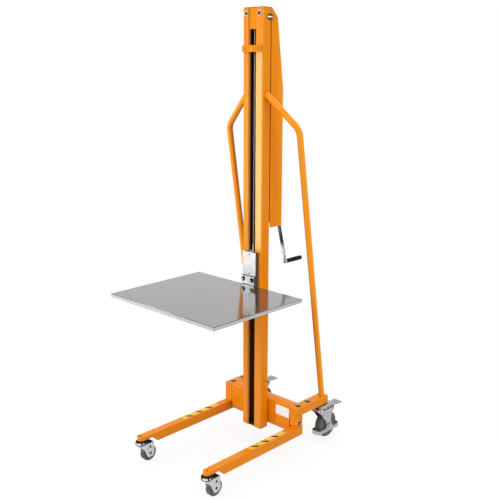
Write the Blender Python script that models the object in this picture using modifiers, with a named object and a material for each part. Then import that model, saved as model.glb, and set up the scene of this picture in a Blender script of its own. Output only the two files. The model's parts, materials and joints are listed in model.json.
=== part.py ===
"""Manual winch lift: slotted mast, roller carriage with a sheet platform, hand winch and castors.

Metres, +Z up. The front, where the legs and the platform reach out, is -Y and the right side is +X.
Lengths along Y are given from the mast's front face; the root empty then puts the origin at the
middle of the footprint, on the floor.
"""
import math

import bmesh
import bpy
from mathutils import Matrix, Vector

# General fits
FIT = 0.0003
RUNNING = 0.0005

# Mast
HEIGHT = 2.000
CAP_THICKNESS = 0.002
MAST_WIDTH = 0.116
MAST_DEPTH = 0.050
MAST_WALL = 0.003
MAST_CORNER = 0.0035
MAST_BOTTOM = 0.082
END_PLATE = 0.003
END_PLATE_INSET = 0.001
SLOT_WIDTH = 0.036
HEAD_INSERT_HEIGHT = 0.087
HEAD_INSERT_RECESS = 0.001
HEAD_BACKING_WIDTH = 0.100
HEAD_SCREW_SPACING = 0.076
HEAD_SCREW_DROP = 0.025
HEAD_SCREW_RADIUS = 0.003
HEAD_WASHER_RADIUS = 0.010

# Stop bar across the slot
STOP_DROP = 0.156
STOP_HEIGHT = 0.028
STOP_WIDTH = 0.114
STOP_THICKNESS = 0.016
STOP_BEVEL_WIDTH = 0.014
STOP_BEVEL_DEPTH = 0.006

# Rope and head pulley
ROPE_RADIUS = 0.002
PULLEY_DROP = 0.040
PULLEY_INSET = 0.0075
PULLEY_FLANGE_RADIUS = 0.034
PULLEY_ROPE_RADIUS = 0.0315
PULLEY_WIDTH = 0.012
PULLEY_LIP = 0.0015
PULLEY_FLOOR_WIDTH = 0.0048
PULLEY_WINDOW = 0.024
AXLE_RADIUS = 0.004
AXLE_COLLAR_RADIUS = 0.0075
AXLE_NUT_RADIUS = 0.0125
AXLE_NUT_HEIGHT = 0.007

# Winch cover behind the mast
COVER_WALL = 0.0015
COVER_BELOW_CRANK = 0.030
COVER_DEPTH = 0.082
COVER_KNEE_DROP = 0.340
COVER_SLOPE_DEPTH = 0.039
COVER_CHAMFER_DEPTH = 0.038
COVER_CHAMFER_DROP = 0.040
COVER_SEAM = 0.0027
COVER_SEAM_DROP = 0.052

# Winch
GEAR_MODULE = 0.002
GEAR_TEETH = 36
PINION_TEETH = 12
GEAR_THICKNESS = 0.010
GEAR_BACKLASH = 0.0004
CRANK_HEIGHT = 1.080
DRUM_RADIUS = 0.025
DRUM_FLANGE_RADIUS = 0.034
DRUM_FLANGE = 0.0025
DRUM_LENGTH = 0.040
DRUM_SHAFT_RADIUS = 0.006
FRAME_PLATE = 0.003
FRAME_HALF_WIDTH = 0.042
FRAME_MARGIN = 0.020
FRAME_TOP_MARGIN = 0.006
PINION_SHAFT_RADIUS = 0.006
RATCHET_RADIUS = 0.022
RATCHET_THICKNESS = 0.010
RATCHET_TEETH = 12
SHOULDER_RADIUS = 0.0085
SHAFT_NUT_RADIUS = 0.009
SHAFT_NUT_HEIGHT = 0.007

# Crank
CRANK_RADIUS = 0.214
CRANK_TILT = math.radians(13.8)
CRANK_STANDOFF = 0.034
CRANK_THICKNESS = 0.007
CRANK_ARM_WIDTH = 0.015
CRANK_HUB_RADIUS = 0.013
CRANK_TIP_RADIUS = 0.0105
GRIP_PIN_RADIUS = 0.0045
GRIP_RADIUS = 0.0105
GRIP_LENGTH = 0.108
GRIP_END_WALL = 0.008

# Carriage
PLATFORM_HEIGHT = 0.790
CORE_WIDTH = 0.026
CORE_BOTTOM = 0.010
CORE_TOP = 0.155
CORE_REAR_GAP = 0.005
BLOCK_WIDTH = 0.082
BLOCK_BOTTOM = -0.004
BLOCK_TOP = 0.151
BLOCK_THICKNESS = 0.018
BLOCK_STANDOFF = 0.002
ROLLER_WIDTH = 0.022
ROLLER_HUB_GAP = 0.0005
ROLLER_AXLE_RADIUS = 0.005
LOWER_ROLLER = 0.035
UPPER_ROLLER = 0.130
FERRULE_RADIUS = 0.0045
FERRULE_LENGTH = 0.025
FERRULE_Y = 0.0075
BRACKET_WIDTH = 0.077
BRACKET_THICKNESS = 0.010
BRACKET_TOP = 0.040
BRACKET_FOOT = 0.080
BRACKET_BOLT_SPACING = 0.052
BRACKET_BOLT_DROP = 0.016

# Platform
PLATFORM_WIDTH = 0.650
PLATFORM_DEPTH = 0.520
PLATFORM_LIP = 0.016
PLATFORM_SHEET = 0.002
FRAME_RAIL_WIDTH = 0.400
FRAME_RAIL_DEPTH = 0.040
FRAME_ARM_LENGTH = 0.420
FRAME_ARM_SPACING = 0.240
FRAME_ARM_WIDTH = 0.040

# Base
BASE_TOP = 0.222
BASE_WIDTH = 0.472
SPACER_THICKNESS = 0.007
SPACER_WIDTH = 0.096
SPACER_HEIGHT = 0.110
BEAM_DEPTH = 0.060
BEAM_HEIGHT = 0.126
BEAM_WALL = 0.004
BEAM_CORNER = 0.004
ARM_WIDTH = 0.048
ARM_HEIGHT = 0.040
ARM_LENGTH = 0.229
LEG_BRACKET_WIDTH = 0.046
LEG_BRACKET_DEPTH = 0.041
LEG_WIDTH = 0.036
LEG_HEIGHT = 0.044
LEG_TOP = 0.128
LEG_TONGUE = 0.017
LEG_TONGUE_LENGTH = 0.069
LEG_CUT_LENGTH = 0.030
EDGE = 0.002

# Bolts
BOLT_HEAD_RADIUS = 0.0075
BOLT_HEAD_HEIGHT = 0.005
BOLT_WASHER_RADIUS = 0.0095
BOLT_WASHER_HEIGHT = 0.0015
BOLT_SHANK_RADIUS = 0.004
BOLT_SHANK_LENGTH = 0.014
ARM_BOLT_OFFSETS = (0.033, 0.103)
BRACKET_BOLT_HEIGHT = 0.145

# Push handles
HANDLE_RADIUS = 0.014
HANDLE_BEND_RADIUS = 0.070
HANDLE_FOOT_INSET = 0.021
HANDLE_BEND_DROP = 0.508
HANDLE_BEND_SETBACK = 0.0665
HANDLE_TOP_DROP = 0.360

# Front castors
FRONT_WHEEL_RADIUS = 0.0375
FRONT_WHEEL_WIDTH = 0.026
FRONT_SWIVEL_REACH = 0.494
FRONT_TRAIL = 0.038
FRONT_RING_RADIUS = 0.027
FRONT_RING_HEIGHT = 0.017
FRONT_CHEEK = 0.0025
FRONT_CHEEK_GAP = 0.0025
FRONT_CROWN = 0.008
FRONT_CROWN_GAP = 0.0055
FRONT_CROWN_FRONT = -0.020
FRONT_CROWN_REAR = 0.057
FRONT_CROWN_EDGE = 0.006
FRONT_AXLE_RADIUS = 0.004
FRONT_FORK_EDGE = [
    (-0.014, 0.0765),
    (-0.002, 0.0680),
    (0.0055, 0.0580),
    (0.0135, 0.0400),
    (0.0210, 0.0250),
    (0.0280, 0.0200),
    (0.0500, 0.0200),
    (0.0575, 0.0270),
    (0.0605, 0.0400),
    (0.0595, 0.0740),
]
STEM_FLANGE_RADIUS = 0.020
STEM_RADIUS = 0.005

# Rear castors
REAR_WHEEL_RADIUS = 0.0625
REAR_WHEEL_WIDTH = 0.034
REAR_SWIVEL_BACK = 0.262
REAR_TRAIL = 0.038
REAR_PLATE_LENGTH = 0.100
REAR_PLATE_WIDTH = 0.066
REAR_PLATE_THICKNESS = 0.005
REAR_HEAD_RADIUS = 0.033
REAR_HEAD_HEIGHT = 0.016
REAR_CROWN = 0.006
REAR_CHEEK = 0.0035
REAR_CHEEK_GAP = 0.002
REAR_AXLE_RADIUS = 0.004
REAR_AXLE_BOSS = 0.016
REAR_CROWN_FRONT = -0.046
REAR_CROWN_REAR = 0.052
REAR_FORK_FRONT_EDGE = [(-0.046, 0.150), (-0.030, 0.140), (-0.014, 0.121), (0.010, 0.090)]
REAR_FORK_REAR_EDGE = [(0.056, 0.112), (0.066, 0.124), (0.076, 0.134)]
REAR_KINGPIN_RADIUS = 0.006
GUARD_LENGTH = 0.164
GUARD_DROP = 0.022
GUARD_EAR_TOP = 0.010
GUARD_EAR_HALF = 0.014
GUARD_EAR_FOOT = 0.034
GUARD_THICKNESS = 0.0025
GUARD_HEIGHT = 0.018
GUARD_SIDE_GAP = 0.001
GUARD_CORNER = 0.020
PEDAL_REACH = 0.136
PEDAL_HINGE_BACK = 0.066
PEDAL_HINGE_DROP = 0.034
PEDAL_PIN_RADIUS = 0.003
PEDAL_LUG_RADIUS = 0.011
PEDAL_BARREL_RADIUS = 0.006
PEDAL_BARREL_LENGTH = 0.034
PEDAL_WIDTH = 0.049
PEDAL_THICKNESS = 0.003
PEDAL_SLOPE = math.radians(3.0)

# Places that follow from the sizes above
MAST_TOP = HEIGHT - CAP_THICKNESS - FIT
MAST_HALF = MAST_WIDTH / 2
MAST_INNER_HALF = MAST_HALF - MAST_WALL
SLOT_TOP = MAST_TOP - HEAD_INSERT_HEIGHT
HEAD_SCREW_Z = HEIGHT - HEAD_SCREW_DROP
PULLEY_Z = HEIGHT - PULLEY_DROP
PULLEY_Y = MAST_DEPTH - PULLEY_INSET
HANDLE_BEND_HEIGHT = HEIGHT - HANDLE_BEND_DROP
HANDLE_TOP = HEIGHT - HANDLE_TOP_DROP
ROPE_FRONT_Y = PULLEY_Y - PULLEY_ROPE_RADIUS
COVER_FRONT = MAST_DEPTH + FIT
COVER_REAR = MAST_DEPTH + COVER_DEPTH
COVER_BOTTOM = CRANK_HEIGHT - COVER_BELOW_CRANK
FRAME_FRONT = MAST_DEPTH + FIT
DRUM_FRONT = FRAME_FRONT + FRAME_PLATE + RUNNING
DRUM_MIDDLE = DRUM_FRONT + DRUM_LENGTH / 2
GEAR_FRONT = DRUM_FRONT + DRUM_LENGTH + FIT
FRAME_REAR = GEAR_FRONT + GEAR_THICKNESS + 2 * RUNNING
RATCHET_FRONT = FRAME_REAR + FRAME_PLATE + RUNNING
GEAR_DISTANCE = GEAR_MODULE * (GEAR_TEETH + PINION_TEETH) / 2
DRUM_HEIGHT = CRANK_HEIGHT + GEAR_DISTANCE
ROPE_ON_DRUM = DRUM_RADIUS + FIT + ROPE_RADIUS
CRANK_FRONT = COVER_REAR + CRANK_STANDOFF
CRANK_REAR = CRANK_FRONT + CRANK_THICKNESS
GRIP_FRONT = CRANK_REAR + 2 * RUNNING
ROLLER_RADIUS = MAST_DEPTH / 2 - MAST_WALL - RUNNING
ROLLER_MIDDLE = CORE_WIDTH / 2 + ROLLER_HUB_GAP + ROLLER_WIDTH / 2
BLOCK_REAR = -BLOCK_STANDOFF
BLOCK_FRONT = BLOCK_REAR - BLOCK_THICKNESS
BRACKET_REAR = BLOCK_FRONT - FIT
BRACKET_FRONT = BRACKET_REAR - BRACKET_THICKNESS
PLATFORM_BACK = BRACKET_FRONT - FIT
PLATFORM_FRONT = PLATFORM_BACK - PLATFORM_DEPTH
BEAM_FRONT = MAST_DEPTH + SPACER_THICKNESS
BASE_HALF = BASE_WIDTH / 2
BEAM_BOTTOM = BASE_TOP - BEAM_HEIGHT
ARM_MIDDLE = BASE_HALF - ARM_WIDTH / 2
ARM_REAR = BEAM_FRONT + ARM_LENGTH
ARM_BOTTOM = BASE_TOP - ARM_HEIGHT
LEG_MIDDLE = BASE_HALF - LEG_WIDTH / 2
LEG_BOTTOM = LEG_TOP - LEG_HEIGHT
LEG_REAR = BEAM_FRONT + LEG_BRACKET_DEPTH
TONGUE_BOTTOM = LEG_TOP - LEG_TONGUE
FRONT_FORK_HALF = FRONT_WHEEL_WIDTH / 2 + FRONT_CHEEK_GAP + FRONT_CHEEK
FRONT_CROWN_BOTTOM = 2 * FRONT_WHEEL_RADIUS + FRONT_CROWN_GAP
REAR_FORK_HALF = REAR_WHEEL_WIDTH / 2 + REAR_CHEEK_GAP + REAR_CHEEK
REAR_PLATE_TOP = ARM_BOTTOM - FIT
REAR_HEAD_TOP = REAR_PLATE_TOP - REAR_PLATE_THICKNESS - FIT
REAR_CROWN_TOP = REAR_HEAD_TOP - REAR_HEAD_HEIGHT
PEDAL_HINGE_Z = REAR_PLATE_TOP - PEDAL_HINGE_DROP
GUARD_HALF_WIDTH = REAR_FORK_HALF + GUARD_SIDE_GAP + GUARD_THICKNESS
PEDAL_TIP_Y = REAR_SWIVEL_BACK + PEDAL_REACH
FOOTPRINT_SHIFT = -(PLATFORM_FRONT + PEDAL_TIP_Y) / 2

COLOURS = {
    "orange_paint": ((0.913, 0.301, 0.020), 0.38, 0.0),
    "bright_sheet": ((0.60, 0.59, 0.58), 0.22, 1.0),
    "cast_aluminium": ((0.72, 0.72, 0.71), 0.42, 1.0),
    "zinc_steel": ((0.60, 0.61, 0.62), 0.35, 1.0),
    "dark_chrome": ((0.28, 0.27, 0.29), 0.12, 1.0),
    "steel": ((0.42, 0.43, 0.45), 0.32, 1.0),
    "wire_rope": ((0.45, 0.44, 0.42), 0.45, 1.0),
    "grey_rubber": ((0.10, 0.10, 0.10), 0.70, 0.0),
    "black_grip": ((0.015, 0.015, 0.016), 0.45, 0.0),
    "black_nylon": ((0.02, 0.02, 0.022), 0.55, 0.0),
}


def clear_scene():
    for old in list(bpy.data.objects):
        bpy.data.objects.remove(old, do_unlink=True)


def make_collection(name):
    collection = bpy.data.collections.new(name)
    bpy.context.scene.collection.children.link(collection)
    return collection


def make_material(name, colour, roughness, metallic):
    material = bpy.data.materials.new(name)
    material.use_nodes = True
    shader = material.node_tree.nodes["Principled BSDF"]
    shader.inputs["Base Color"].default_value = (*colour, 1.0)
    shader.inputs["Roughness"].default_value = roughness
    shader.inputs["Metallic"].default_value = metallic
    return material


clear_scene()
PARTS = make_collection("winch_lift")
CUTTERS = make_collection("cutters")
MATERIALS = {name: make_material(name, *values) for name, values in COLOURS.items()}

ALONG = {
    "X": (0.0, math.pi / 2, 0.0),
    "Y": (-math.pi / 2, 0.0, 0.0),
    "Z": (0.0, 0.0, 0.0),
}
# Columns are where a flat outline's own x, y and thickness directions point
PLANES = {
    "XY": Matrix(((1, 0, 0, 0), (0, 1, 0, 0), (0, 0, 1, 0), (0, 0, 0, 1))),
    "YZ": Matrix(((0, 0, 1, 0), (1, 0, 0, 0), (0, 1, 0, 0), (0, 0, 0, 1))),
    "XZ": Matrix(((1, 0, 0, 0), (0, 0, -1, 0), (0, 1, 0, 0), (0, 0, 0, 1))),
}


def make_empty(name, parent, location):
    empty = bpy.data.objects.new(name, None)
    PARTS.objects.link(empty)
    empty.empty_display_size = 0.05
    empty.parent = parent
    empty.location = location
    return empty


def make_part(name, mesh, material, parent, location=(0, 0, 0), rotation=(0, 0, 0)):
    part = bpy.data.objects.new(name, mesh)
    PARTS.objects.link(part)
    part.parent = parent
    part.location = location
    part.rotation_euler = rotation
    if not mesh.materials:
        mesh.materials.append(MATERIALS[material])
    return part


def make_tool(name, mesh, part, location=(0, 0, 0), rotation=(0, 0, 0)):
    """A guide solid that shares the part's parent; it cuts the part or is joined to it."""
    tool = bpy.data.objects.new(name, mesh)
    CUTTERS.objects.link(tool)
    tool.parent = part.parent
    tool.location = location
    tool.rotation_euler = rotation
    tool.hide_render = True
    tool.display_type = "WIRE"
    return tool


def boolean(part, tool, operation):
    modifier = part.modifiers.new(operation.lower() + "_" + tool.name, "BOOLEAN")
    modifier.operation = operation
    modifier.solver = "EXACT"
    modifier.object = tool
    return part


def cut(part, tool):
    return boolean(part, tool, "DIFFERENCE")


def join(part, tool):
    return boolean(part, tool, "UNION")


def bevel_edges(part, width, segments=1):
    modifier = part.modifiers.new("edges", "BEVEL")
    modifier.width = width
    modifier.segments = segments
    modifier.limit_method = "ANGLE"
    modifier.angle_limit = math.radians(40)
    return part


def smooth(part, angle=35):
    part.data.shade_smooth()
    part.data.set_sharp_from_angle(angle=math.radians(angle))
    return part


def box_mesh(name, low, high):
    mesh = bpy.data.meshes.new(name)
    size = [b - a for a, b in zip(low, high)]
    middle = [(a + b) / 2 for a, b in zip(low, high)]
    shape = bmesh.new()
    bmesh.ops.create_cube(shape, size=1.0)
    place = Matrix.Translation(middle) @ Matrix.Diagonal((*size, 1.0))
    bmesh.ops.transform(shape, matrix=place, verts=shape.verts)
    shape.to_mesh(mesh)
    shape.free()
    return mesh


def rod_mesh(name, radius, start, end, segments=16):
    """A cylinder along its own Z, from start to end."""
    mesh = bpy.data.meshes.new(name)
    shape = bmesh.new()
    bmesh.ops.create_cone(
        shape,
        cap_ends=True,
        segments=segments,
        radius1=radius,
        radius2=radius,
        depth=end - start,
        matrix=Matrix.Translation((0, 0, (start + end) / 2)),
    )
    shape.to_mesh(mesh)
    shape.free()
    return mesh


def curve_to_mesh(name, curve):
    """The curve's filled solid as one welded mesh."""
    holder = bpy.data.objects.new(name + "_curve", curve)
    CUTTERS.objects.link(holder)
    graph = bpy.context.evaluated_depsgraph_get()
    mesh = bpy.data.meshes.new_from_object(holder.evaluated_get(graph))
    mesh.name = name
    shape = bmesh.new()
    shape.from_mesh(mesh)
    bmesh.ops.remove_doubles(shape, verts=shape.verts, dist=0.00001)
    bmesh.ops.recalc_face_normals(shape, faces=shape.faces)
    shape.to_mesh(mesh)
    shape.free()
    bpy.data.objects.remove(holder, do_unlink=True)
    return mesh


def outline_mesh(name, outlines, thickness, plane, offset=0.0):
    """A flat outline, with any holes after it, given a thickness centred at the offset."""
    curve = bpy.data.curves.new(name, "CURVE")
    curve.dimensions = "2D"
    curve.fill_mode = "BOTH"
    curve.extrude = thickness / 2
    for points in outlines:
        spline = curve.splines.new("POLY")
        spline.points.add(len(points) - 1)
        for spot, (u, v) in zip(spline.points, points):
            spot.co = (u, v, 0.0, 1.0)
        spline.use_cyclic_u = True
    mesh = curve_to_mesh(name, curve)
    turn = PLANES[plane]
    direction = turn.to_3x3() @ Vector((0, 0, 1))
    sign = -1.0 if plane == "XZ" else 1.0
    mesh.transform(Matrix.Translation(direction * offset * sign) @ turn)
    return mesh


def tube_mesh(name, points, radius, resolution):
    curve = bpy.data.curves.new(name, "CURVE")
    curve.dimensions = "3D"
    curve.bevel_depth = radius
    curve.bevel_resolution = resolution
    curve.use_fill_caps = True
    spline = curve.splines.new("POLY")
    spline.points.add(len(points) - 1)
    for spot, point in zip(spline.points, points):
        spot.co = (*point, 1.0)
    return curve_to_mesh(name, curve)


def turned_part(name, profile, closed, axis, steps, material, parent, location):
    """A turned shape: the profile is (radius, height) points, down the outer side first."""
    mesh = bpy.data.meshes.new(name)
    edges = [(i, i + 1) for i in range(len(profile) - 1)]
    if closed:
        edges.append((len(profile) - 1, 0))
    mesh.from_pydata([(radius, 0.0, height) for radius, height in profile], edges, [])
    part = make_part(name, mesh, material, parent, location, ALONG[axis])
    return add_turn(part, steps)


def add_turn(part, steps):
    modifier = part.modifiers.new("turn", "SCREW")
    modifier.axis = "Z"
    modifier.angle = 2 * math.pi
    modifier.steps = steps
    modifier.render_steps = steps
    modifier.use_merge_vertices = True
    modifier.merge_threshold = 0.00001
    modifier.use_smooth_shade = False
    return part


def arc(centre, radius, start, end, steps):
    """Points on a circle from the start angle to the end angle, in degrees."""
    points = []
    for i in range(steps + 1):
        angle = math.radians(start + (end - start) * i / steps)
        points.append((centre[0] + radius * math.cos(angle), centre[1] + radius * math.sin(angle)))
    return points


def rounded_rectangle(width, depth, corner, steps=3, centre=(0.0, 0.0)):
    half_x = width / 2 - corner
    half_y = depth / 2 - corner
    points = []
    for sign_x, sign_y, start in ((1, 1, 0), (-1, 1, 90), (-1, -1, 180), (1, -1, 270)):
        middle = (centre[0] + sign_x * half_x, centre[1] + sign_y * half_y)
        points.extend(arc(middle, corner, start, start + 90, steps))
    return points


def inset_outline(points, distance):
    """An anticlockwise convex outline with every side moved inwards."""
    inset = []
    for i, point in enumerate(points):
        before = Vector(points[i - 1])
        here = Vector(point)
        after = Vector(points[(i + 1) % len(points)])
        side_in = (here - before).normalized()
        side_out = (after - here).normalized()
        normal_in = Vector((-side_in.y, side_in.x))
        normal_out = Vector((-side_out.y, side_out.x))
        along = (normal_in + normal_out) / (1 + normal_in.dot(normal_out))
        inset.append(tuple(here + along * distance))
    return inset


def hex_bolt(name, parent, location, axis, outward=1):
    """A hexagon head on a washer; its seat is the location and the head stands outwards."""
    top = BOLT_WASHER_HEIGHT + BOLT_HEAD_HEIGHT
    overlap = 0.0005
    rotation = Vector(ALONG[axis])
    if outward < 0:
        rotation = Vector((math.pi, 0, 0)) if axis == "Z" else -rotation
    head_mesh = rod_mesh(name, BOLT_HEAD_RADIUS, BOLT_WASHER_HEIGHT - overlap, top, 6)
    bolt = make_part(name, head_mesh, "zinc_steel", parent, location, rotation)
    washer_mesh = rod_mesh(name + "_washer", BOLT_WASHER_RADIUS, 0.0, BOLT_WASHER_HEIGHT, 16)
    join(bolt, make_tool(name + "_washer", washer_mesh, bolt, location, rotation))
    shank_mesh = rod_mesh(name + "_shank", BOLT_SHANK_RADIUS, -BOLT_SHANK_LENGTH, top - overlap, 10)
    join(bolt, make_tool(name + "_shank", shank_mesh, bolt, location, rotation))
    return bolt


def drill(part, name, centre, axis, radius, start, end, segments=16):
    """A round hole along an axis, from start to end measured from the centre."""
    tool = make_tool(name, rod_mesh(name, radius, start, end, segments), part, centre, ALONG[axis])
    return cut(part, tool)


def mast_profile():
    """Anticlockwise outline of the C-section, open at the slot in front."""
    half_slot = SLOT_WIDTH / 2
    corner = MAST_CORNER
    inner = MAST_INNER_HALF
    rear = MAST_DEPTH - corner
    points = [(half_slot, 0.0)]
    points += arc((MAST_HALF - corner, corner), corner, 270, 360, 3)
    points += arc((MAST_HALF - corner, rear), corner, 0, 90, 3)
    points += arc((corner - MAST_HALF, rear), corner, 90, 180, 3)
    points += arc((corner - MAST_HALF, corner), corner, 180, 270, 3)
    points += [(-half_slot, 0.0), (-half_slot, MAST_WALL), (-inner, MAST_WALL)]
    points += [(-inner, MAST_DEPTH - MAST_WALL), (inner, MAST_DEPTH - MAST_WALL)]
    points += [(inner, MAST_WALL), (half_slot, MAST_WALL)]
    return points


def build_mast(root):
    height = MAST_TOP - MAST_BOTTOM
    mesh = outline_mesh("mast", [mast_profile()], height, "XY", (MAST_TOP + MAST_BOTTOM) / 2)
    mast = make_part("mast", mesh, "orange_paint", root)
    inside = (MAST_INNER_HALF + FIT, MAST_DEPTH - MAST_WALL + FIT)
    plate = box_mesh(
        "mast_end_plate",
        (-inside[0], MAST_WALL / 2, MAST_BOTTOM + END_PLATE_INSET),
        (inside[0], inside[1], MAST_BOTTOM + END_PLATE_INSET + END_PLATE),
    )
    join(mast, make_tool("mast_end_plate", plate, mast))
    window_half = PULLEY_WINDOW / 2
    window = box_mesh(
        "pulley_window",
        (-window_half, MAST_DEPTH - 2 * MAST_WALL, PULLEY_Z - PULLEY_FLANGE_RADIUS - 0.004),
        (window_half, MAST_DEPTH + MAST_WALL, MAST_TOP + MAST_WALL),
    )
    cut(mast, make_tool("pulley_window", window, mast))
    reach = MAST_WIDTH
    drill(mast, "pulley_axle_holes", (0, PULLEY_Y, PULLEY_Z), "X", AXLE_RADIUS + FIT, -reach, reach)
    for side, word in ((-1, "left"), (1, "right")):
        place = (side * HEAD_SCREW_SPACING / 2, 0, HEAD_SCREW_Z)
        hole = HEAD_SCREW_RADIUS + FIT
        drill(mast, "head_screw_hole_" + word, place, "Y", hole, -MAST_WALL, 2 * MAST_WALL, 12)
    return smooth(mast)


def build_mast_cap(root):
    outline = rounded_rectangle(MAST_WIDTH, MAST_DEPTH, MAST_CORNER, 3, (0, MAST_DEPTH / 2))
    middle = HEIGHT - CAP_THICKNESS / 2
    mesh = outline_mesh("mast_cap", [outline], CAP_THICKNESS, "XY", middle)
    return make_part("mast_cap", mesh, "orange_paint", root)


def build_head_insert(root):
    """Fills the slot's top from behind and carries its two screws."""
    low = SLOT_TOP
    high = MAST_TOP - FIT
    backing_front = MAST_WALL + FIT
    half = HEAD_BACKING_WIDTH / 2
    backing = box_mesh("head_insert", (-half, backing_front, low), (half, 2 * MAST_WALL, high))
    insert = make_part("head_insert", backing, "orange_paint", root)
    tongue_half = SLOT_WIDTH / 2 - FIT
    tongue = box_mesh(
        "head_insert_tongue",
        (-tongue_half, HEAD_INSERT_RECESS, low),
        (tongue_half, backing_front + MAST_WALL / 2, high),
    )
    join(insert, make_tool("head_insert_tongue", tongue, insert))
    for side, word in ((-1, "left"), (1, "right")):
        place = (side * HEAD_SCREW_SPACING / 2, 0, HEAD_SCREW_Z)
        shank = rod_mesh("head_screw_shank_" + word, HEAD_SCREW_RADIUS, -0.002, 1.5 * MAST_WALL, 12)
        join(insert, make_tool("head_screw_shank_" + word, shank, insert, place, ALONG["Y"]))
        washer = rod_mesh("head_washer_" + word, HEAD_WASHER_RADIUS, -0.0018, -FIT, 16)
        join(insert, make_tool("head_washer_" + word, washer, insert, place, ALONG["Y"]))
        head = rod_mesh("head_screw_head_" + word, 2 * HEAD_SCREW_RADIUS, -0.0045, -0.0015, 12)
        join(insert, make_tool("head_screw_head_" + word, head, insert, place, ALONG["Y"]))
    return insert


def build_stop_bar(root):
    """Flat bar with bevelled ends; the carriage block stops under it."""
    half = STOP_WIDTH / 2
    front = -STOP_THICKNESS
    points = [
        (-half, -FIT),
        (-half, front + STOP_BEVEL_DEPTH),
        (-half + STOP_BEVEL_WIDTH, front),
        (half - STOP_BEVEL_WIDTH, front),
        (half, front + STOP_BEVEL_DEPTH),
        (half, -FIT),
    ]
    middle = HEIGHT - STOP_DROP - STOP_HEIGHT / 2
    mesh = outline_mesh("stop_bar", [points], STOP_HEIGHT, "XY", middle)
    return make_part("stop_bar", mesh, "orange_paint", root)


def build_pulley(root):
    axis = make_empty("pulley_axis", root, (0, PULLEY_Y, PULLEY_Z))
    half = PULLEY_WIDTH / 2
    groove = PULLEY_ROPE_RADIUS - ROPE_RADIUS - FIT
    floor_half = PULLEY_FLOOR_WIDTH / 2
    bore = AXLE_RADIUS + FIT
    profile = [
        (PULLEY_FLANGE_RADIUS, half),
        (PULLEY_FLANGE_RADIUS, half - PULLEY_LIP),
        (groove, floor_half),
        (groove, -floor_half),
        (PULLEY_FLANGE_RADIUS, PULLEY_LIP - half),
        (PULLEY_FLANGE_RADIUS, -half),
        (bore, -half),
        (bore, half),
    ]
    pulley = turned_part("head_pulley", profile, True, "X", 24, "steel", axis, (0, 0, 0))
    smooth(pulley)

    wall = MAST_HALF + FIT
    collar = PULLEY_WINDOW / 2 - RUNNING
    hub = half + FIT
    right_side = [
        (0.0, wall + AXLE_NUT_HEIGHT),
        (AXLE_NUT_RADIUS * 0.75, wall + AXLE_NUT_HEIGHT * 0.8),
        (AXLE_NUT_RADIUS, wall),
        (AXLE_RADIUS, wall),
        (AXLE_RADIUS, collar),
        (AXLE_COLLAR_RADIUS, collar),
        (AXLE_COLLAR_RADIUS, hub),
        (AXLE_RADIUS, hub),
    ]
    left_side = [(radius, -height) for radius, height in reversed(right_side)]
    axle = turned_part(
        "pulley_axle", right_side + left_side, False, "X", 14, "zinc_steel", root,
        (0, PULLEY_Y, PULLEY_Z),
    )
    smooth(axle)


def cover_outline():
    """The cover's side, anticlockwise from the bottom front corner."""
    return [
        (COVER_FRONT, COVER_BOTTOM),
        (COVER_REAR, COVER_BOTTOM),
        (COVER_REAR, HEIGHT - COVER_KNEE_DROP),
        (COVER_REAR - COVER_SLOPE_DEPTH, HEIGHT - COVER_CHAMFER_DROP),
        (COVER_REAR - COVER_SLOPE_DEPTH - COVER_CHAMFER_DEPTH, HEIGHT),
        (COVER_FRONT, HEIGHT),
    ]


def build_winch_cover(root):
    mesh = outline_mesh("winch_cover", [cover_outline()], MAST_WIDTH, "YZ")
    cover = make_part("winch_cover", mesh, "orange_paint", root)
    room = inset_outline(cover_outline(), COVER_WALL)
    open_front = COVER_FRONT - MAST_WALL
    open_bottom = COVER_BOTTOM - MAST_WALL
    room[0] = (open_front, open_bottom)
    room[1] = (room[1][0], open_bottom)
    room[-1] = (open_front, room[-1][1])
    inside = outline_mesh("cover_room", [room], MAST_WIDTH - 2 * COVER_WALL, "YZ")
    cut(cover, make_tool("cover_room", inside, cover))
    seam = box_mesh(
        "cover_seam",
        (-MAST_WIDTH, COVER_FRONT - COVER_SEAM, COVER_BOTTOM - MAST_WALL),
        (MAST_WIDTH, COVER_FRONT + COVER_SEAM, HEIGHT - COVER_SEAM_DROP),
    )
    cut(cover, make_tool("cover_seam", seam, cover))
    hole = SHOULDER_RADIUS + 0.002
    place = (0, COVER_REAR, CRANK_HEIGHT)
    drill(cover, "cover_shaft_hole", place, "Y", hole, -2 * MAST_WALL, 2 * MAST_WALL, 20)
    return cover


def gear_outline(teeth, phase):
    """Straight-flanked teeth; the phase is the angle of the first tooth, in degrees."""
    pitch_radius = GEAR_MODULE * teeth / 2
    rings = (
        (pitch_radius - 1.25 * GEAR_MODULE, 0.5 * math.pi / 2 + 0.30),
        (pitch_radius + GEAR_MODULE, 0.35),
    )
    root_half = math.degrees((rings[0][1] * GEAR_MODULE - GEAR_BACKLASH / 2) / rings[0][0])
    tip_half = math.degrees(rings[1][1] * GEAR_MODULE / rings[1][0])
    points = []
    for tooth in range(teeth):
        middle = phase + 360 * tooth / teeth
        for radius, angle in (
            (rings[0][0], middle - root_half),
            (rings[1][0], middle - tip_half),
            (rings[1][0], middle + tip_half),
            (rings[0][0], middle + root_half),
        ):
            turn = math.radians(angle)
            points.append((radius * math.cos(turn), radius * math.sin(turn)))
    return points


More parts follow.
